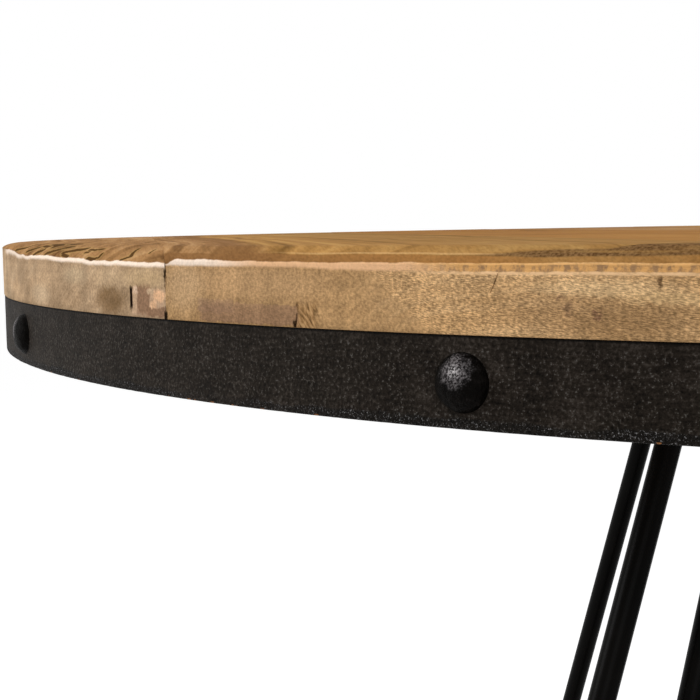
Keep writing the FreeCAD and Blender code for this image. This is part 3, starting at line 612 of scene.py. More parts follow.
def stained(stain, angle, below, ragged):
    """Share of a stain at each place of the side."""
    shape, at_angle, half_angle, at_depth, half_depth, _, strength, soft, rough = stain
    across = abs(angle + ragged[0] * (rough * 0.10) - at_angle) * (1 / half_angle)
    down = abs(below + ragged[1] * rough - at_depth) * (1 / half_depth)
    off = across.larger(down) if shape == "box" else across.span(down)
    return off.step(1 - soft, 1 + soft, strength, 0.0)


def plank_finish(number):
    """Hardwood: growth rings round the tree's heart, fibres, flecks, stains and knots, with painted
    shade in cracks, gapes and plane marks and painted highlights on the arris.
    """
    side_tones, upper_tones, strength, (heart_across, heart_up) = PLANK_WOOD[number]
    first, second = number == 1, number == 2
    wood = Finish("plank_%d_wood" % number, 0.80, 0.012)
    moved = wood.node("ShaderNodeMapping", {"Vector": wood.place,
                                            "Location": PLANK_SHIFT * number})
    below, mark, facet = (wood.mesh_share(name) for name in ("below", "mark", "facet"))
    # The edge's own coordinates; the shift keeps the far side's jump off planks 5 to 8
    aside = 0.008 if number > PLANKS // 2 else 0.0
    turn = (wood.x + aside).bearing(wood.y * -1)
    angle = turn * (180 / math.pi)
    rim_run = turn * TOP_RADIUS
    edge_place = wood.vector(rim_run, number, wood.z)

    blotch = moved.noise((15, 5, 30), 3.0) - 0.5
    sand = moved.noise(950)
    drift = moved.noise((3.5, 1.5, 3.5), 1.0) - 0.5
    sway = moved.noise((9, 2.0, 9)) - 0.5
    middle = (PLANK_EDGES[number - 1] + PLANK_EDGES[number]) / 2
    across = wood.x - (middle + heart_across) + drift * 0.10
    up = wood.z - (TOP_HEIGHT + heart_up) + sway * 0.05
    rings = across.span(up)
    knot = 0.0
    if number in KNOTS:
        knot_x, knot_y, size = KNOTS[number]
        away = (wood.x - knot_x).span((wood.y - knot_y) * 0.75)
        rings = rings + away.fall(0.0, size * 4.5) * (size * 1.6)
        knot = (away + (sand - 0.5) * 0.004).step(size * 0.20, size * 1.2, 0.9, 0.0)
    growth = rings.line_noise(240)
    streak = moved.noise((150, 2.6, 150), 3.0, 0.6)
    fibres = moved.noise((1200, 34, 1200))

    # The bare side: soft blotches, sandy grain and slanting flecks
    side = (blotch * 1.5 + (growth - 0.5) * 0.5 + 0.5).ramp(side_tones)
    slanted = rim_run * FLECK_SLANT + edge_place.noise((70, 1, 110)) * 0.0030
    flecks = wood.vector(rim_run, number, wood.z + slanted).noise((540, 1, 2850), 2.0, 0.6)
    ragged = [(edge_place.noise(scale) - 0.5) * 3.0 for scale in ((420, 1, 420), (380, 5, 380))]
    wash = edge_place.noise((52, 1, 40) if first else (120, 1, 26), 3.0, 0.6)
    wash_depth, sand_depth = (0.26, 0.22) if first else (0.15, 0.29)
    if second:
        start_angle, start_depth, slope = FLECKS_START
        past = angle - ((below - start_depth) * slope + start_angle + ragged[0] * 0.12)
        strength = past.step(-0.25, 0.35, 0.28, strength)
        sand_depth = past.step(-0.25, 0.35, 0.27, 0.30)
        side = wood.shaded(side, past.step(-0.3, 0.3, 0.90, 1.06))
    tone = (flecks.step(0.36, 0.66, 0.64, 1.38) - 1.0) * strength + 1.0
    grain = edge_place.noise((18, 1, 330), 3.0, 0.6)
    side = wood.shaded(side, wash.step(0.25, 0.75, 1 - wash_depth, 1 + wash_depth), tone,
                       sand.step(0.25, 0.75, -1.0, 1.0) * sand_depth + 1.0,
                       grain.step(0.30, 0.70, 0.90, 1.09))
    mottle = (sand.step(0.25, 0.75, 0.80, 1.20), wash.step(0.25, 0.75, 0.84, 1.16), tone)
    for stain in STAINS.get(number, []):
        side = wood.mix(stained(stain, angle, below, ragged), side,
                        wood.shaded(stain[5], *mottle))
    if second:
        leaning = wood.vector(rim_run + wood.z * 0.55, number, wood.z)
        torn = leaning.noise((800, 1, 230), 2.0, 0.6).step(0.36, 0.66).ramp(TORN_TONES)
        side = wood.mix(stained(TORN_GRAIN, angle, below, ragged), side, torn)
    raw = (growth * 0.5 + streak * 0.5).ramp(side_tones)
    side = wood.mix(wood.mesh_share("under"), side, raw)

    # The oiled upper side
    share = (growth - 0.5) * (1.1 if first else 1.3) + (streak - 0.5) * 0.9 + blotch * 0.8
    upper = (share + 0.5).ramp(upper_tones)
    if second:
        wander = wood.x + (moved.noise((30, 9, 30)) - 0.5) * 0.030
        upper = wood.mix(wander.fall(-0.486, -0.472), upper,
                         (share + 0.40).ramp(UPPER_BROWN))
        upper = wood.shaded(upper, wood.x.step(-0.46, -0.40, 1.0, 0.80))
        seam = wander.step(-0.502, -0.492) * wander.fall(-0.484, -0.474)
        upper = wood.mix(seam * 0.7, upper, SEAM_BROWN)
    if number in (2, 3):
        # The top of the round is browner, with a pale line above it and streaks behind that
        inward = TOP_RADIUS - wood.x.span(wood.y)
        wobble = (edge_place.noise((24, 1, 1)) - 0.5) * 0.0022
        wobbly = inward + wobble
        pillow = wobbly.fall(0.0021, 0.0027) * angle.step(-45.0, -41.5, 0.85, 0.42)
        browned = wood.mix(angle.step(-55.0, -45.0), PILLOW_DARK, PILLOW_BROWN)
        upper = wood.mix(pillow, upper, browned)
        brow = abs(wobbly - 0.0030).step(0.0002, 0.0005, 0.65, 0.0) * angle.step(-54.0, -50.5)
        upper = wood.mix(brow * angle.step(-43.0, -40.0, 1.0, 0.2), upper, PILLOW_LINE)
        reach = angle.step(-47.0, -40.5, 0.0020, 0.0052) + angle.step(-40.7, -36.5, 0.0, 0.0260)
        reach = (reach + wobble) * angle.fall(-35.0, -26.0)
        dark = wobbly.step(0.0019, 0.0026) * (inward - reach).fall(-0.0006, 0.0006)
        streaky = wood.vector(rim_run, inward, 0.0).noise((16, 560, 1), 3.0, 0.65)
        dark = dark * angle.step(-50.0, -42.0) * streaky.step(0.30, 0.58, 0.35, 1.0)
        upper = wood.mix(dark, upper, sand.step(0.30, 0.70).ramp(STREAK_TONES))
    upper = wood.mix(knot, upper, KNOT_DARK)
    upper = wood.shaded(upper, fibres.step(0.30, 0.75, 1.10, 0.84))
    # Painted shade in the plane marks, and on plank 1 a painted highlight beside each
    marked = mark + (fibres - 0.5) * 0.5
    if first:
        mark_highlight = marked.step(0.00, 0.10) * 0.40 * mark.step(0.01, 0.05)
        upper = wood.mix(mark_highlight, upper, MARK_HIGHLIGHT)
    upper = wood.mix(marked.step(0.18, 0.60, 0.0, 0.94), upper, MARK_SHADE)

    # Where the oil ends, then the pale rubbed arris with a painted highlight on it, and the facet
    # under it with painted highlight lines along its crest and its foot
    along_edge = edge_place.noise((170, 1, 60), 3.0, 0.6)
    slow_edge = edge_place.noise((45, 1, 20)) - 0.5
    rough_below = below + (along_edge - 0.5) * 1.1 + slow_edge * (2.4 if first else 1.2)
    if first:
        rough_below = rough_below + angle.step(-76.0, -71.5, -2.1, -0.15)
    oil_end, pale_end = (4.0, 6.0) if first else (4.7, 7.4)
    oil_below = rough_below - (angle.step(-56.0, -54.8, 0.0, 0.5) if second else facet * 0.5)
    low_below = rough_below
    if second:
        oil_below = oil_below + angle.step(-58.95, -58.15, -2.0, 0.0)
        low_below = rough_below - angle.step(-52.0, -48.5, 0.0, 0.9)
    oiled = oil_below.fall(oil_end - 0.4, oil_end + 0.2)
    colour = wood.mix(oiled, side, upper)
    # The pale strip is rubbed wood with a painted highlight on it
    pale_highlight = wood.mix(angle.step(-56.8, -53.0), PALE_ARRIS_HIGHLIGHT, PEACH_ARRIS_HIGHLIGHT)
    highlight_strip = oil_below.step(oil_end - 0.3, oil_end + 0.25)
    highlight_strip = highlight_strip * low_below.fall(pale_end - 1.2, pale_end + 0.3)
    highlight_strip = highlight_strip * along_edge.step(0.25, 0.50, 0.70, 0.97)
    if first:
        highlight_strip = highlight_strip * angle.step(-81.6, -79.4)
    colour = wood.mix(highlight_strip * (1.0 - facet), colour,
                      wood.shaded(pale_highlight, sand.step(0.25, 0.75, 0.93, 1.05)))
    smudges = edge_place.noise((300, 1, 190), 3.0, 0.65).step(0.43, 0.60)
    on_facet = below.step(5.0, 5.6) * rough_below.fall(7.6, 8.3) * (facet * 0.92)
    colour = wood.mix(on_facet, colour, wood.mix(smudges, FACET_ORANGE, FACET_SMUDGE))
    # Painted highlight lines along the crest above the facet and along the facet's foot
    crest_highlight = abs(below - 5.35).fall(0.15, 0.50)
    crest_highlight = crest_highlight * (facet * along_edge.step(0.30, 0.60, 0.25, 0.75))
    colour = wood.mix(crest_highlight, colour, ORANGE_CREST_HIGHLIGHT)
    foot_highlight = abs(rough_below - 8.4).fall(0.20, 0.75)
    foot_highlight = foot_highlight * (facet * along_edge.step(0.36, 0.56, 0.45, 0.98))
    colour = wood.mix(foot_highlight, colour, FACET_FOOT_HIGHLIGHT)
    relief = flecks * ((1.0 - oiled) * strength) + fibres * 0.35 + sand * 0.25
    return wood.done(colour, relief, 0.0004, 0.7)


def placed(name, data):
    """A new object in the scene."""
    made = bpy.data.objects.new(name, data)
    bpy.context.scene.collection.objects.link(made)
    return made


def new_piece(name, mesh, material, replaced):
    """A mesh as a piece that rides on the table and stands for the named node."""
    mesh.materials.append(material)
    piece = placed(name, mesh)
    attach(piece, "root")
    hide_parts(replaced)


for number, board in enumerate(boards_of(*slab_faces(slab_rings())), start=1):
    new_piece("plank_%d_sawn" % number, finished_board(board, number), plank_finish(number),
              "plank_%d" % number)


# The rim under the planks is eight segments sawn from plain boards and butted end to end,
# glued and screwed up into the planks. It is bare wood, and carries the band.
RAW_TONES = [(0.20, 0.115, 0.055), (0.37, 0.235, 0.125), (0.52, 0.36, 0.21)]
SEGMENTS = 8


def raw_wood(name, heading):
    """Plain sawn wood whose grain runs at a heading in degrees, with saw marks across it."""
    wood = Finish(name, 0.85, 0.08)
    turned = wood.node("ShaderNodeMapping", {"Vector": wood.place,
                                             "Rotation": (0, 0, math.radians(-heading))})
    along, across, up = wood.axes(turned)
    sway = turned.noise((5, 16, 16))
    rings = (across + sway * 0.035 + up * 0.6).line_noise(190)
    streak = turned.noise((4, 230, 230), 3.0, 0.6)
    fibres = turned.noise((40, 1300, 1300))
    saw = (along + sway * 0.01).line_noise(420, 1.0)
    colour = wood.shaded((rings * 0.55 + streak * 0.45).ramp(RAW_TONES),
                         fibres.step(0.3, 0.75, 1.10, 0.80), saw.step(0.35, 0.65, 0.90, 1.06))
    return wood.done(colour, saw + fibres * 0.6, 0.0004, 0.6)


def dress(node, material):
    """Give a carried-over node its material."""
    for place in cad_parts[node].material_slots:
        place.material = material


for number in range(SEGMENTS):
    dress("rim_segment_%d" % (number + 1),
          raw_wood("rim_wood_%d" % (number + 1), 360 / SEGMENTS * number))


# Three battens of the same bare wood run across the planks inside the rim, and screws hold
# each plank flat to them.
batten_wood = raw_wood("batten_wood", 0)
for node in ("batten_front", "batten_middle", "batten_back"):
    dress(node, batten_wood)


# The iron band is flat bar rolled to a hoop, with its ends welded and ground behind the
# table. It is hammered on tight, blacked, and its skin is sandy with a rough lower edge.
BAND_LOW, BAND_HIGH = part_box("iron_band")
BAND_RADIUS = -BAND_LOW.x
BAND_FOOT, BAND_TOP = BAND_LOW.z, BAND_HIGH.z
BAND_THICKNESS = 0.005
BAND_ARRIS = 0.0007
BAND_ROWS = 30
ROUGH_EDGE = 0.0032
HAMMERED, LONG_DENTS, SHORT_DENTS, EDGE_DENTS = 0.00012, 0.00012, 0.00005, 0.00045
HOOP_WELD_ANGLE = 128.0
HOOP_WELD_HALF = 0.55
HOOP_WELD_HEIGHT = 0.00022
BAND_SKIN = [(0.0020, 0.0014, 0.0009), (0.0140, 0.0106, 0.0078), (0.0400, 0.0320, 0.0260)]
BAND_SPECK = (0.078, 0.072, 0.065)
BAND_EDGE_BLACK = (0.0060, 0.0055, 0.0052)
BAND_GLINT = (0.185, 0.180, 0.180)
BAND_RUST = (0.30, 0.13, 0.05)


def turns(columns):
    """The angle of each column round a whole turn."""
    return [2 * math.pi * column / columns for column in range(columns)]


def tube_faces(rows, columns, close_rows=False):
    """Faces of rows of points that each close on themselves."""
    faces = []
    for row in range(rows if close_rows else rows - 1):
        after = (row + 1) % rows
        for column in range(columns):
            beside = (column + 1) % columns
            faces.append((row * columns + column, row * columns + beside,
                          after * columns + beside, after * columns + column))
    return faces


def smooth_mesh(name, points, faces, sharp=40):
    return closed_mesh(name, open_mesh(points, faces), sharp)


def band_mesh():
    """The hoop: its section turned round the table, then dented and roughened."""
    inner, eased = BAND_RADIUS - BAND_THICKNESS, BAND_RADIUS - BAND_ARRIS
    corner, ease = BAND_RADIUS - BAND_ARRIS * 0.3, BAND_ARRIS * 0.3
    heights = np.linspace(BAND_FOOT + BAND_ARRIS, BAND_TOP - BAND_ARRIS, BAND_ROWS)
    section = [(inner, BAND_FOOT), (eased, BAND_FOOT), (corner, BAND_FOOT + ease),
               *((BAND_RADIUS, height) for height in heights),
               (corner, BAND_TOP - ease), (eased, BAND_TOP), (inner, BAND_TOP)]
    points = np.array([(radius * math.sin(turn), -radius * math.cos(turn), height)
                       for radius, height in section for turn in turns(RIM_COLUMNS)])
    outer = np.flatnonzero(np.hypot(points[:, 0], points[:, 1]) > BAND_RADIUS - BAND_ARRIS * 1.1)
    skin = points[outer]
    low = np.exp(-((skin[:, 2] - BAND_FOOT) / (ROUGH_EDGE * 0.6)) ** 2)
    dents = HAMMERED + wavy(skin, 38, 21) * LONG_DENTS + wavy(skin, 160, 22) * SHORT_DENTS
    dents += low * np.abs(wavy(skin, 420, 23)) * EDGE_DENTS
    angles = np.degrees(np.arctan2(skin[:, 0], -skin[:, 1]))
    off_weld = (angles - HOOP_WELD_ANGLE) / (HOOP_WELD_HALF * 0.7)
    dents -= HOOP_WELD_HEIGHT * np.exp(-off_weld ** 2)
    points[outer, :2] *= (1 - np.maximum(dents, -0.0001) / BAND_RADIUS)[:, None]
    return smooth_mesh("band_hoop", points, tube_faces(len(section), RIM_COLUMNS, True))


def band_finish():
    """Blacked iron: sandy and specked, with glints on its rough lower edge, a little rust, and
    painted shade along its top under the wood.
    """
    skin = Finish("band_black", 0.62, 0.03)
    coarse = skin.place.noise(70, 3.0) - 0.5
    grit = skin.place.noise(820, 2.0, 0.6)
    fine = skin.place.noise(2100, 1.0)
    rolled = skin.place.noise((110, 110, 900), 3.0, 0.7) - 0.5
    colour = (coarse * 0.8 + (grit - 0.5) * 1.6 + rolled * 0.9 + 0.5).ramp(BAND_SKIN)
    calm = skin.z.step(BAND_TOP - 0.0045, BAND_TOP - 0.0025, 1.0, 0.1)
    specks = grit.step(0.55, 0.66) * fine.step(0.50, 0.62)
    colour = skin.mix(specks * calm, colour, BAND_SPECK)
    height = skin.z + coarse * 0.004
    edge = height.fall(BAND_FOOT + ROUGH_EDGE * 0.8, BAND_FOOT + ROUGH_EDGE * 1.2)
    edge = edge * skin.place.noise((9, 9, 1), 1.0).step(0.30, 0.46)
    colour = skin.mix(edge * 0.6, colour, BAND_EDGE_BLACK)
    glints = skin.place.noise(1500, 2.0, 0.7).step(0.57, 0.70)
    colour = skin.mix(edge * glints, colour, BAND_GLINT)
    # Painted shade along the band's top, where the wood above shades it
    colour = skin.shaded(colour, skin.z.step(BAND_TOP - 0.0012, BAND_TOP - 0.0004, 1.0, 0.12))
    rust = skin.z.fall(BAND_FOOT + 0.0004, BAND_FOOT + 0.0008)
    rust = rust * skin.place.noise((260, 260, 1), 1.0).step(0.66, 0.70)
    lumps = skin.place.noise(620, 2.0, 0.7).step(0.46, 0.64)
    return skin.done(skin.mix(rust, colour, BAND_RUST), grit + lumps * (edge * 1.5), 0.0007, 0.8)


new_piece("band_hoop", band_mesh(), band_finish(), "iron_band")


# Twelve dome-headed rivets are driven through the band into the rim. Their heads are hammer shaped,
# pitted and blacked, and on one side of each crown grey rubbed metal holds a painted highlight.
RIVETS = 12
FIRST_RIVET = 15.0
RIVET_RADIUS = 0.0097
RIVET_HEIGHT = 0.0055
RIVET_SHANK = 0.0040
RIVET_LENGTH = 0.045
RIVET_LIP = 0.0004
RIVET_ROWS = 22
RIVET_COLUMNS = 72
# How far each rivet is driven off its mark round the rim, and the middle of its grey rubbed patch
# with the painted highlight: sideways and up from the crown, as shares of the head
RIVET_HEADS = [
    (0.0004, 0.2, 0.4), (-0.0005, -0.3, 0.3), (0.0003, 0.1, 0.5), (0.0007, -0.2, 0.2),
    (-0.0006, 0.3, 0.3), (0.0002, 0.0, 0.5), (-0.0004, -0.4, 0.2), (0.0006, 0.2, 0.2),
    (-0.0002, 0.1, 0.3), (0.0, -0.3, 0.35), (-0.0008, -0.02, 0.40), (0.0005, 0.1, 0.4)]
HIGHLIGHT_REACH = 0.80
# The hammer's dents, long and short, each with its fineness and depth, then the pits
RIVET_DENTS = [(260, 0.00030), (700, 0.00010)]
PIT_FINENESS, PIT_SHARE, PIT_DEPTH = 1500, 0.15, 0.00022
RIVET_WORN = 0.00015
RIVET_BLACK = [(0.0005, 0.0003, 0.0002), (0.0016, 0.0011, 0.0007), (0.0064, 0.0050, 0.0042)]
# Grey rubbed metal that carries the painted highlight, and the highlight's bright middle
RIVET_RUBBED_HIGHLIGHT = (0.160, 0.146, 0.148)
RIVET_HIGHLIGHT_MIDDLE = (0.52, 0.49, 0.49)


def rivet_points(number):
    """One rivet's points, row by row from the shank's end to the crown, and shares of its painted
    highlight.
    """
    drift, highlight_over, highlight_above = RIVET_HEADS[number]
    outward, sideways = rim_ways(math.radians(FIRST_RIVET + number * 360 / RIVETS)
                                 + drift / BAND_RADIUS)
    upward = Vector((0, 0, 1))
    seat = outward * BAND_RADIUS + upward * (BAND_FOOT + BAND_TOP) / 2
    seed = Vector((number * 11.3, number * 4.7, 2.0))
    profile = [(RIVET_SHANK, -RIVET_LENGTH), (RIVET_SHANK, -RIVET_LIP), (RIVET_RADIUS, -RIVET_LIP)]
    for row in range(RIVET_ROWS):
        turn = math.radians(90) * row / RIVET_ROWS
        profile.append((RIVET_RADIUS * math.cos(turn), RIVET_HEIGHT * math.sin(turn)))
    points, rubbed_highlight = [], []
    for radius, height in profile:
        for turn in turns(RIVET_COLUMNS):
            over, above = radius * math.cos(turn), radius * math.sin(turn)
            shape = Vector((over, above, height))
            if height > 0.0001:
                dent = sum(noise.noise(shape * fine + seed) * deep for fine, deep in RIVET_DENTS)
                pit = min(0.0, noise.noise(shape * PIT_FINENESS + seed) + PIT_SHARE)
                shape *= 1 + (dent + pit * PIT_DEPTH - RIVET_WORN) / max(shape.length, 0.004)
            points.append(seat + sideways * shape.x + upward * shape.y + outward * shape.z)
            off = math.hypot(over / RIVET_RADIUS - highlight_over, above / RIVET_RADIUS - highlight_above)
            rubbed_highlight.append(max(0.0, 1 - off / HIGHLIGHT_REACH) if height > 0 else 0.0)
    return points, rubbed_highlight


def capped_tube(points, columns, open_start=False):
    """A tube's points with its faces, closed at both ends or only at the last."""
    faces = tube_faces(len(points) // columns, columns)
    if not open_start:
        faces.append(tuple(reversed(range(columns))))
    return points, faces + [tuple(range(len(points) - columns, len(points)))]


def joined(shapes):
    """The points and faces of several shapes as one."""
    points, faces = [], []
    for own_points, own_faces in shapes:
        faces += [tuple(len(points) + index for index in face) for face in own_faces]
        points += own_points
    return points, faces


rivets = [rivet_points(number) for number in range(RIVETS)]
mesh = smooth_mesh("rivets_domed",
                   *joined(capped_tube(points, RIVET_COLUMNS) for points, _ in rivets), 60)
mesh.attributes.new("rubbed_highlight", "FLOAT", "POINT").data.foreach_set(
    "value", [share for _, rubbed_highlight in rivets for share in rubbed_highlight])

black = Finish("rivet_black", 0.42, 0.022)
# Painted highlight: grey rubbed metal over the mottled black, brightest at the middle of each patch
rubbed_highlight = black.mesh_share("rubbed_highlight")
mottle = black.place.noise(420, 2.0, 0.6)
pits = black.place.noise(1500, 2.0, 0.6)
worn = (rubbed_highlight + (mottle - 0.5) * 0.9).step(0.12, 0.66) * pits.step(0.42, 0.60, 0.08, 1.0)
highlight_grey = black.mix(rubbed_highlight.step(0.62, 0.95), RIVET_RUBBED_HIGHLIGHT, RIVET_HIGHLIGHT_MIDDLE)
colour = black.mix(worn, ((mottle - 0.5) * 1.5 + 0.5).ramp(RIVET_BLACK), highlight_grey)
new_piece("rivets_domed", mesh, black.done(colour, pits + mottle, 0.0006, 0.8),
          "band_rivets")


# Each leg is one length of round bar bent twice at the floor to a narrow stirrup, painted
# satin black. Paint is scuffed through where the bend stands on the floor.
LEGS = 4
BAR_RADIUS = 0.0075
BEND_RADIUS = 0.022
BAR_SIDES = 36
LEG_TOP = Vector((-0.188, -0.098, 0.726))
LEG_FOOT = Vector((-0.4095, -0.203, BAR_RADIUS))
HALF_TOP = Vector((0.042 / 2, 0, 0))
HALF_FOOT = Vector((0.074 / 2, 0, 0))
BEND_STEPS = 14
SHANK_STEPS = 40
FOOT_STEPS = 3
SATIN_BLACK = [(0.0010, 0.0009, 0.0008), (0.0022, 0.0019, 0.0016), (0.0042, 0.0037, 0.0032)]
SCUFFED_STEEL = (0.16, 0.155, 0.15)


def leg_path():
    """Middle line of leg 1, with its tangents: down one shank, across, and up the other."""
    corners = [LEG_TOP - HALF_TOP, LEG_FOOT - HALF_FOOT, LEG_FOOT + HALF_FOOT, LEG_TOP + HALF_TOP]
    line = []
    start = corners[0]
    for corner, after, steps in ((*corners[1:3], SHANK_STEPS), (*corners[2:4], FOOT_STEPS)):
        come, leave = (corner - start).normalized(), (after - corner).normalized()
        bend = come.angle(leave)
        reach = BEND_RADIUS * math.tan(bend / 2)
        entry = corner - come * reach
        line += [(start.lerp(entry, step / steps), come) for step in range(steps)]
        inward = (leave - come * leave.dot(come)).normalized()
        middle = entry + inward * BEND_RADIUS
        for step in range(BEND_STEPS + 1):
            turn = bend * step / BEND_STEPS
            ahead, aside = math.cos(turn), math.sin(turn)
            line.append((middle - inward * BEND_RADIUS * ahead + come * BEND_RADIUS * aside,
                         come * ahead + inward * aside))
        start = corner + leave * reach
    line += [(start.lerp(corners[3], step / SHANK_STEPS), leave)
             for step in range(1, SHANK_STEPS + 1)]
    flat = (corners[2] - corners[1]).cross(corners[0] - corners[1]).normalized()
    return line, flat


def leg_turn(number):
    """Leg 1's turn to the place of another leg."""
    return Matrix.Rotation(math.radians(90) * (number - 1), 3, "Z")


def leg_mesh(number):
    line, flat = leg_path()
    points = []
    for index, (middle, along) in enumerate(line):
        aside = along.cross(flat).normalized()
        for turn in turns(BAR_SIDES):
            point = middle + (aside * math.cos(turn) + flat * math.sin(turn)) * BAR_RADIUS
            if index in (0, len(line) - 1):
                point += along * ((LEG_TOP.z - point.z) / along.z)
            points.append(leg_turn(number) @ point)
    return smooth_mesh("leg_%d_bar" % number, *capped_tube(points, BAR_SIDES))


def satin_finish(name, scuff_height):
    """Black satin paint over steel, worn through below a height."""
    paint = Finish(name, 0.36, 0.03)
    cloud = paint.place.noise(30) - 0.5
    scuffs = paint.z + (paint.place.noise(300, 3.0) - 0.5) * 0.006
    colour = paint.mix(scuffs.step(scuff_height * 0.4, scuff_height, 0.8, 0.0),
                       (cloud * 1.6 + 0.5).ramp(SATIN_BLACK), SCUFFED_STEEL)
    return paint.done(colour, paint.place.noise(700), 0.00008, 0.6)


leg_black = satin_finish("leg_black", 0.0022)
for number in range(1, LEGS + 1):
    new_piece("leg_%d_bar" % number, leg_mesh(number), leg_black, "leg_%d" % number)


# A flat steel plate with four screw holes is welded on the two ends of each bar, and takes
# the same black paint.
plate_black = satin_finish("plate_black", 0.0001)
for number in range(1, LEGS + 1):
    dress("leg_plate_%d" % number, plate_black)


# A bead of weld runs round each shank where it meets its plate. It is left rippled as the
# welder laid it, and painted over.
WELD_SIZE = 0.0050
WELD_ROWS = 8
WELD_COLUMNS = 96
WELD_RIPPLES = 17


def weld_points(number, side):
    """One bead's points, row by row from the plate down to the bar."""
    top = LEG_TOP + HALF_TOP * side
    along = (LEG_FOOT + HALF_FOOT * side - top).normalized()
    points = []
    for row in range(WELD_ROWS):
        turn = math.radians(90) * row / (WELD_ROWS - 1)
        for round_bar in turns(WELD_COLUMNS):
            outward = Vector((math.cos(round_bar), math.sin(round_bar), 0))
            seed = outward * 2 + Vector((0, 0, number * 3.1 + side))
            ripple = 0.90 + 0.08 * abs(math.sin(WELD_RIPPLES * round_bar / 2 + row * 0.25))
            size = WELD_SIZE * (ripple + 0.05 * noise.noise(seed))
            reach = BAR_RADIUS * 0.96 + size * math.cos(turn)
            middle = top + along * (size * math.sin(turn) / -along.z)
            points.append(leg_turn(number) @ (middle + outward * reach))
    return points


beads = joined(capped_tube(weld_points(number, side), WELD_COLUMNS)
               for number in range(1, LEGS + 1) for side in (-1, 1))
new_piece("weld_beads", smooth_mesh("weld_beads", *beads, 50), plate_black,
          "leg_welds")


# Countersunk wood screws with a cross recess hold the rim, the battens and the plates up to
# the planks. They are zinc plated, and their heads are sunk flush.
HEAD_RADIUS = 0.0050
SCREW_RADIUS = 0.0025
HEAD_DEPTH = HEAD_RADIUS - SCREW_RADIUS
HEAD_LIP = 0.0003
HEAD_SIDES = 32
POINT_RADIUS, POINT_LENGTH = 0.0004, 0.004
RECESS_REACH = 0.0029
RECESS_HALF = 0.0006
RECESS_DEPTH = 0.0016
ZINC_TONES = [(0.30, 0.29, 0.26), (0.52, 0.51, 0.48), (0.66, 0.65, 0.62)]


def solids_of(node):
    """Middle, lowest and highest point of each separate solid of a node."""
    mesh = bmesh.new()
    mesh.from_mesh(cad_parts[node].data)
    bmesh.ops.remove_doubles(mesh, verts=mesh.verts[:], dist=1e-6)
    left = set(mesh.verts)
    found = []
    while left:
        group = [left.pop()]
        for vertex in group:
            for edge in vertex.link_edges:
                other = edge.other_vert(vertex)
                if other in left:
                    left.remove(other)
                    group.append(other)
        places = np.array([vertex.co[:] for vertex in group])
        low, high = places.min(axis=0), places.max(axis=0)
        found.append(((low[0] + high[0]) / 2, (low[1] + high[1]) / 2, low[2], high[2]))
    mesh.free()
    return sorted(found)


def cross_outline(reach, half, height, spin):
    """The twelve corners of a cross."""
    outline = []
    for arm in range(4):
        turn = math.radians(90) * arm + spin
        for along, across in ((half, -half), (reach, -half), (reach, half)):
            outline.append((along * math.cos(turn) - across * math.sin(turn),
                            along * math.sin(turn) + across * math.cos(turn), height))
    return outline


def screw_parts(x, y, low, high, spin):
    """Points and faces of one screw, driven upwards from a flush head."""
    points = []
    for radius, height in ((HEAD_RADIUS, low), (HEAD_RADIUS, low + HEAD_LIP),
                           (SCREW_RADIUS, low + HEAD_DEPTH), (SCREW_RADIUS, high - POINT_LENGTH),
                           (POINT_RADIUS, high)):
        for side in range(HEAD_SIDES):
            turn = 2 * math.pi * (side - HEAD_SIDES / 8) / HEAD_SIDES + spin
            points.append((radius * math.cos(turn), radius * math.sin(turn), height))
    points, faces = capped_tube(points, HEAD_SIDES, open_start=True)
    mouth, bottom = len(points), len(points) + 12
    points += cross_outline(RECESS_REACH, RECESS_HALF, low, spin)
    points += cross_outline(RECESS_REACH * 0.45, RECESS_HALF * 0.5, low + RECESS_DEPTH, spin)
    quarter = HEAD_SIDES // 4
    for arm in range(4):
        outer = [(arm * quarter + step) % HEAD_SIDES for step in range(quarter + 1)]
        corner, right, left = (mouth + arm * 3 + step for step in range(3))
        following = mouth + (arm * 3 + 3) % 12
        faces.append((*outer, following, left, right, corner))
    for step in range(12):
        after = (step + 1) % 12
        faces.append((mouth + step, mouth + after, bottom + after, bottom + step))
    faces.append(tuple(range(bottom, bottom + 12)))
    return [(x + px, y + py, pz) for px, py, pz in points], faces


zinc = Finish("screw_zinc", 0.38, 0.5)
zinc.shader["Metallic"].default_value = 1.0
spangle = zinc.place.noise(900)
screw_zinc = zinc.done(spangle.ramp(ZINC_TONES), spangle, 0.00008, 0.6)
for node in ("rim_screws", "batten_screws", "plate_screws"):
    screws = joined(screw_parts(*place, number * 0.7)
                    for number, place in enumerate(solids_of(node)))
    new_piece(node + "_cross", smooth_mesh(node + "_cross", *screws, 35), screw_zinc,
              node)


# The floor is a wide white sweep, which shows white to the eye and in reflections and keeps
# the soft shadow of the table.
FLOOR_HALF_WIDTH = 40.0
FLOOR_PAINT = 0.50
FLOOR_GLOW = 0.74


def seen_directly(nodes):
    """One for light that reaches the eye straight, in a reflection or through glass."""
    eye, mirror, glass = (nodes.node("ShaderNodeLightPath", output="Is %s Ray" % kind)
                          for kind in ("Camera", "Glossy", "Transmission"))
    return eye.larger(mirror).larger(glass)


floor_material = bpy.data.materials.new("white_floor")
white_floor = Nodes(floor_material)
paint = white_floor.node("ShaderNodeBsdfDiffuse", {"Color": [FLOOR_PAINT] * 3})
glow = white_floor.node("ShaderNodeEmission", {"Color": [FLOOR_GLOW] * 3,
                                               "Strength": seen_directly(white_floor)})
white_floor.feed(white_floor.tree.nodes["Material Output"].inputs["Surface"],
                 white_floor.node("ShaderNodeAddShader", {0: paint, 1: glow}))

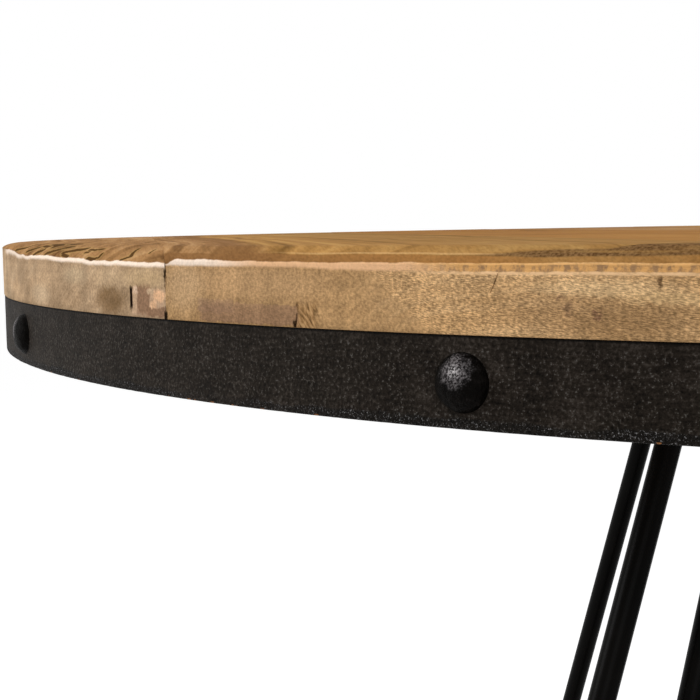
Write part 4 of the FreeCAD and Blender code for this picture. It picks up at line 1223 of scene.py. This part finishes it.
corners = [(x * FLOOR_HALF_WIDTH, y * FLOOR_HALF_WIDTH, 0)
           for x, y in ((-1, -1), (1, -1), (1, 1), (-1, 1))]
floor_mesh = bpy.data.meshes.new("floor")
floor_mesh.from_pydata(corners, [], [(0, 1, 2, 3)])
floor_mesh.materials.append(floor_material)
floor = placed("floor", floor_mesh)


# Soft light comes from all round. The main lamp stands on the left, higher than the top, a
# wide one hangs overhead, and a third fills the near side.
SKY_LEVEL = 0.50
# The place, width and power of each lamp
LAMPS = {"side_lamp": ((-2.9, 0.25, 1.45), 1.0, 34.0),
         "over_lamp": ((-0.4, -0.3, 3.0), 1.8, 26.0),
         "near_lamp": ((-0.9, -3.2, 1.5), 1.8, 26.0)}
LAMP_AIM = Vector((-0.1, 0, 0.65))

world = bpy.data.worlds.new("studio")
bpy.context.scene.world = world
studio = Nodes(world)
sky = studio.node("ShaderNodeBackground", {"Color": (1, 1, 1), "Strength": SKY_LEVEL})
white = studio.node("ShaderNodeBackground", {"Color": (1, 1, 1)})
studio.feed(studio.tree.nodes["World Output"].inputs["Surface"],
            studio.node("ShaderNodeMixShader", {0: seen_directly(studio), 1: sky, 2: white}))

for lamp_name, (place, width, power) in LAMPS.items():
    light = bpy.data.lights.new(lamp_name, "AREA")
    light.size = width
    light.energy = power
    stand = placed(lamp_name, light)
    stand.location = place
    stand.rotation_euler = (LAMP_AIM - stand.location).to_track_quat("-Z", "Y").to_euler()

bpy.context.scene.view_settings.view_transform = "Standard"


# The camera stands forty centimetres from the rim, seven millimetres higher than the top,
# and looks nearly along the planks.
CAMERA_PLACE = Vector((-0.5243, -0.8589, 0.7671))
CAMERA_HEADING = math.radians(-8.395)
CAMERA_PITCH = math.radians(-5.033)
CAMERA_ROLL = math.radians(-0.926)
CAMERA_LENS = 73.39

camera = placed("camera", bpy.data.cameras.new("camera"))
camera.data.lens = CAMERA_LENS
camera.matrix_world = (Matrix.Translation(CAMERA_PLACE)
                       @ Matrix.Rotation(CAMERA_HEADING, 4, "Z")
                       @ Matrix.Rotation(math.radians(90) + CAMERA_PITCH, 4, "X")
                       @ Matrix.Rotation(CAMERA_ROLL, 4, "Z"))
bpy.context.scene.camera = camera
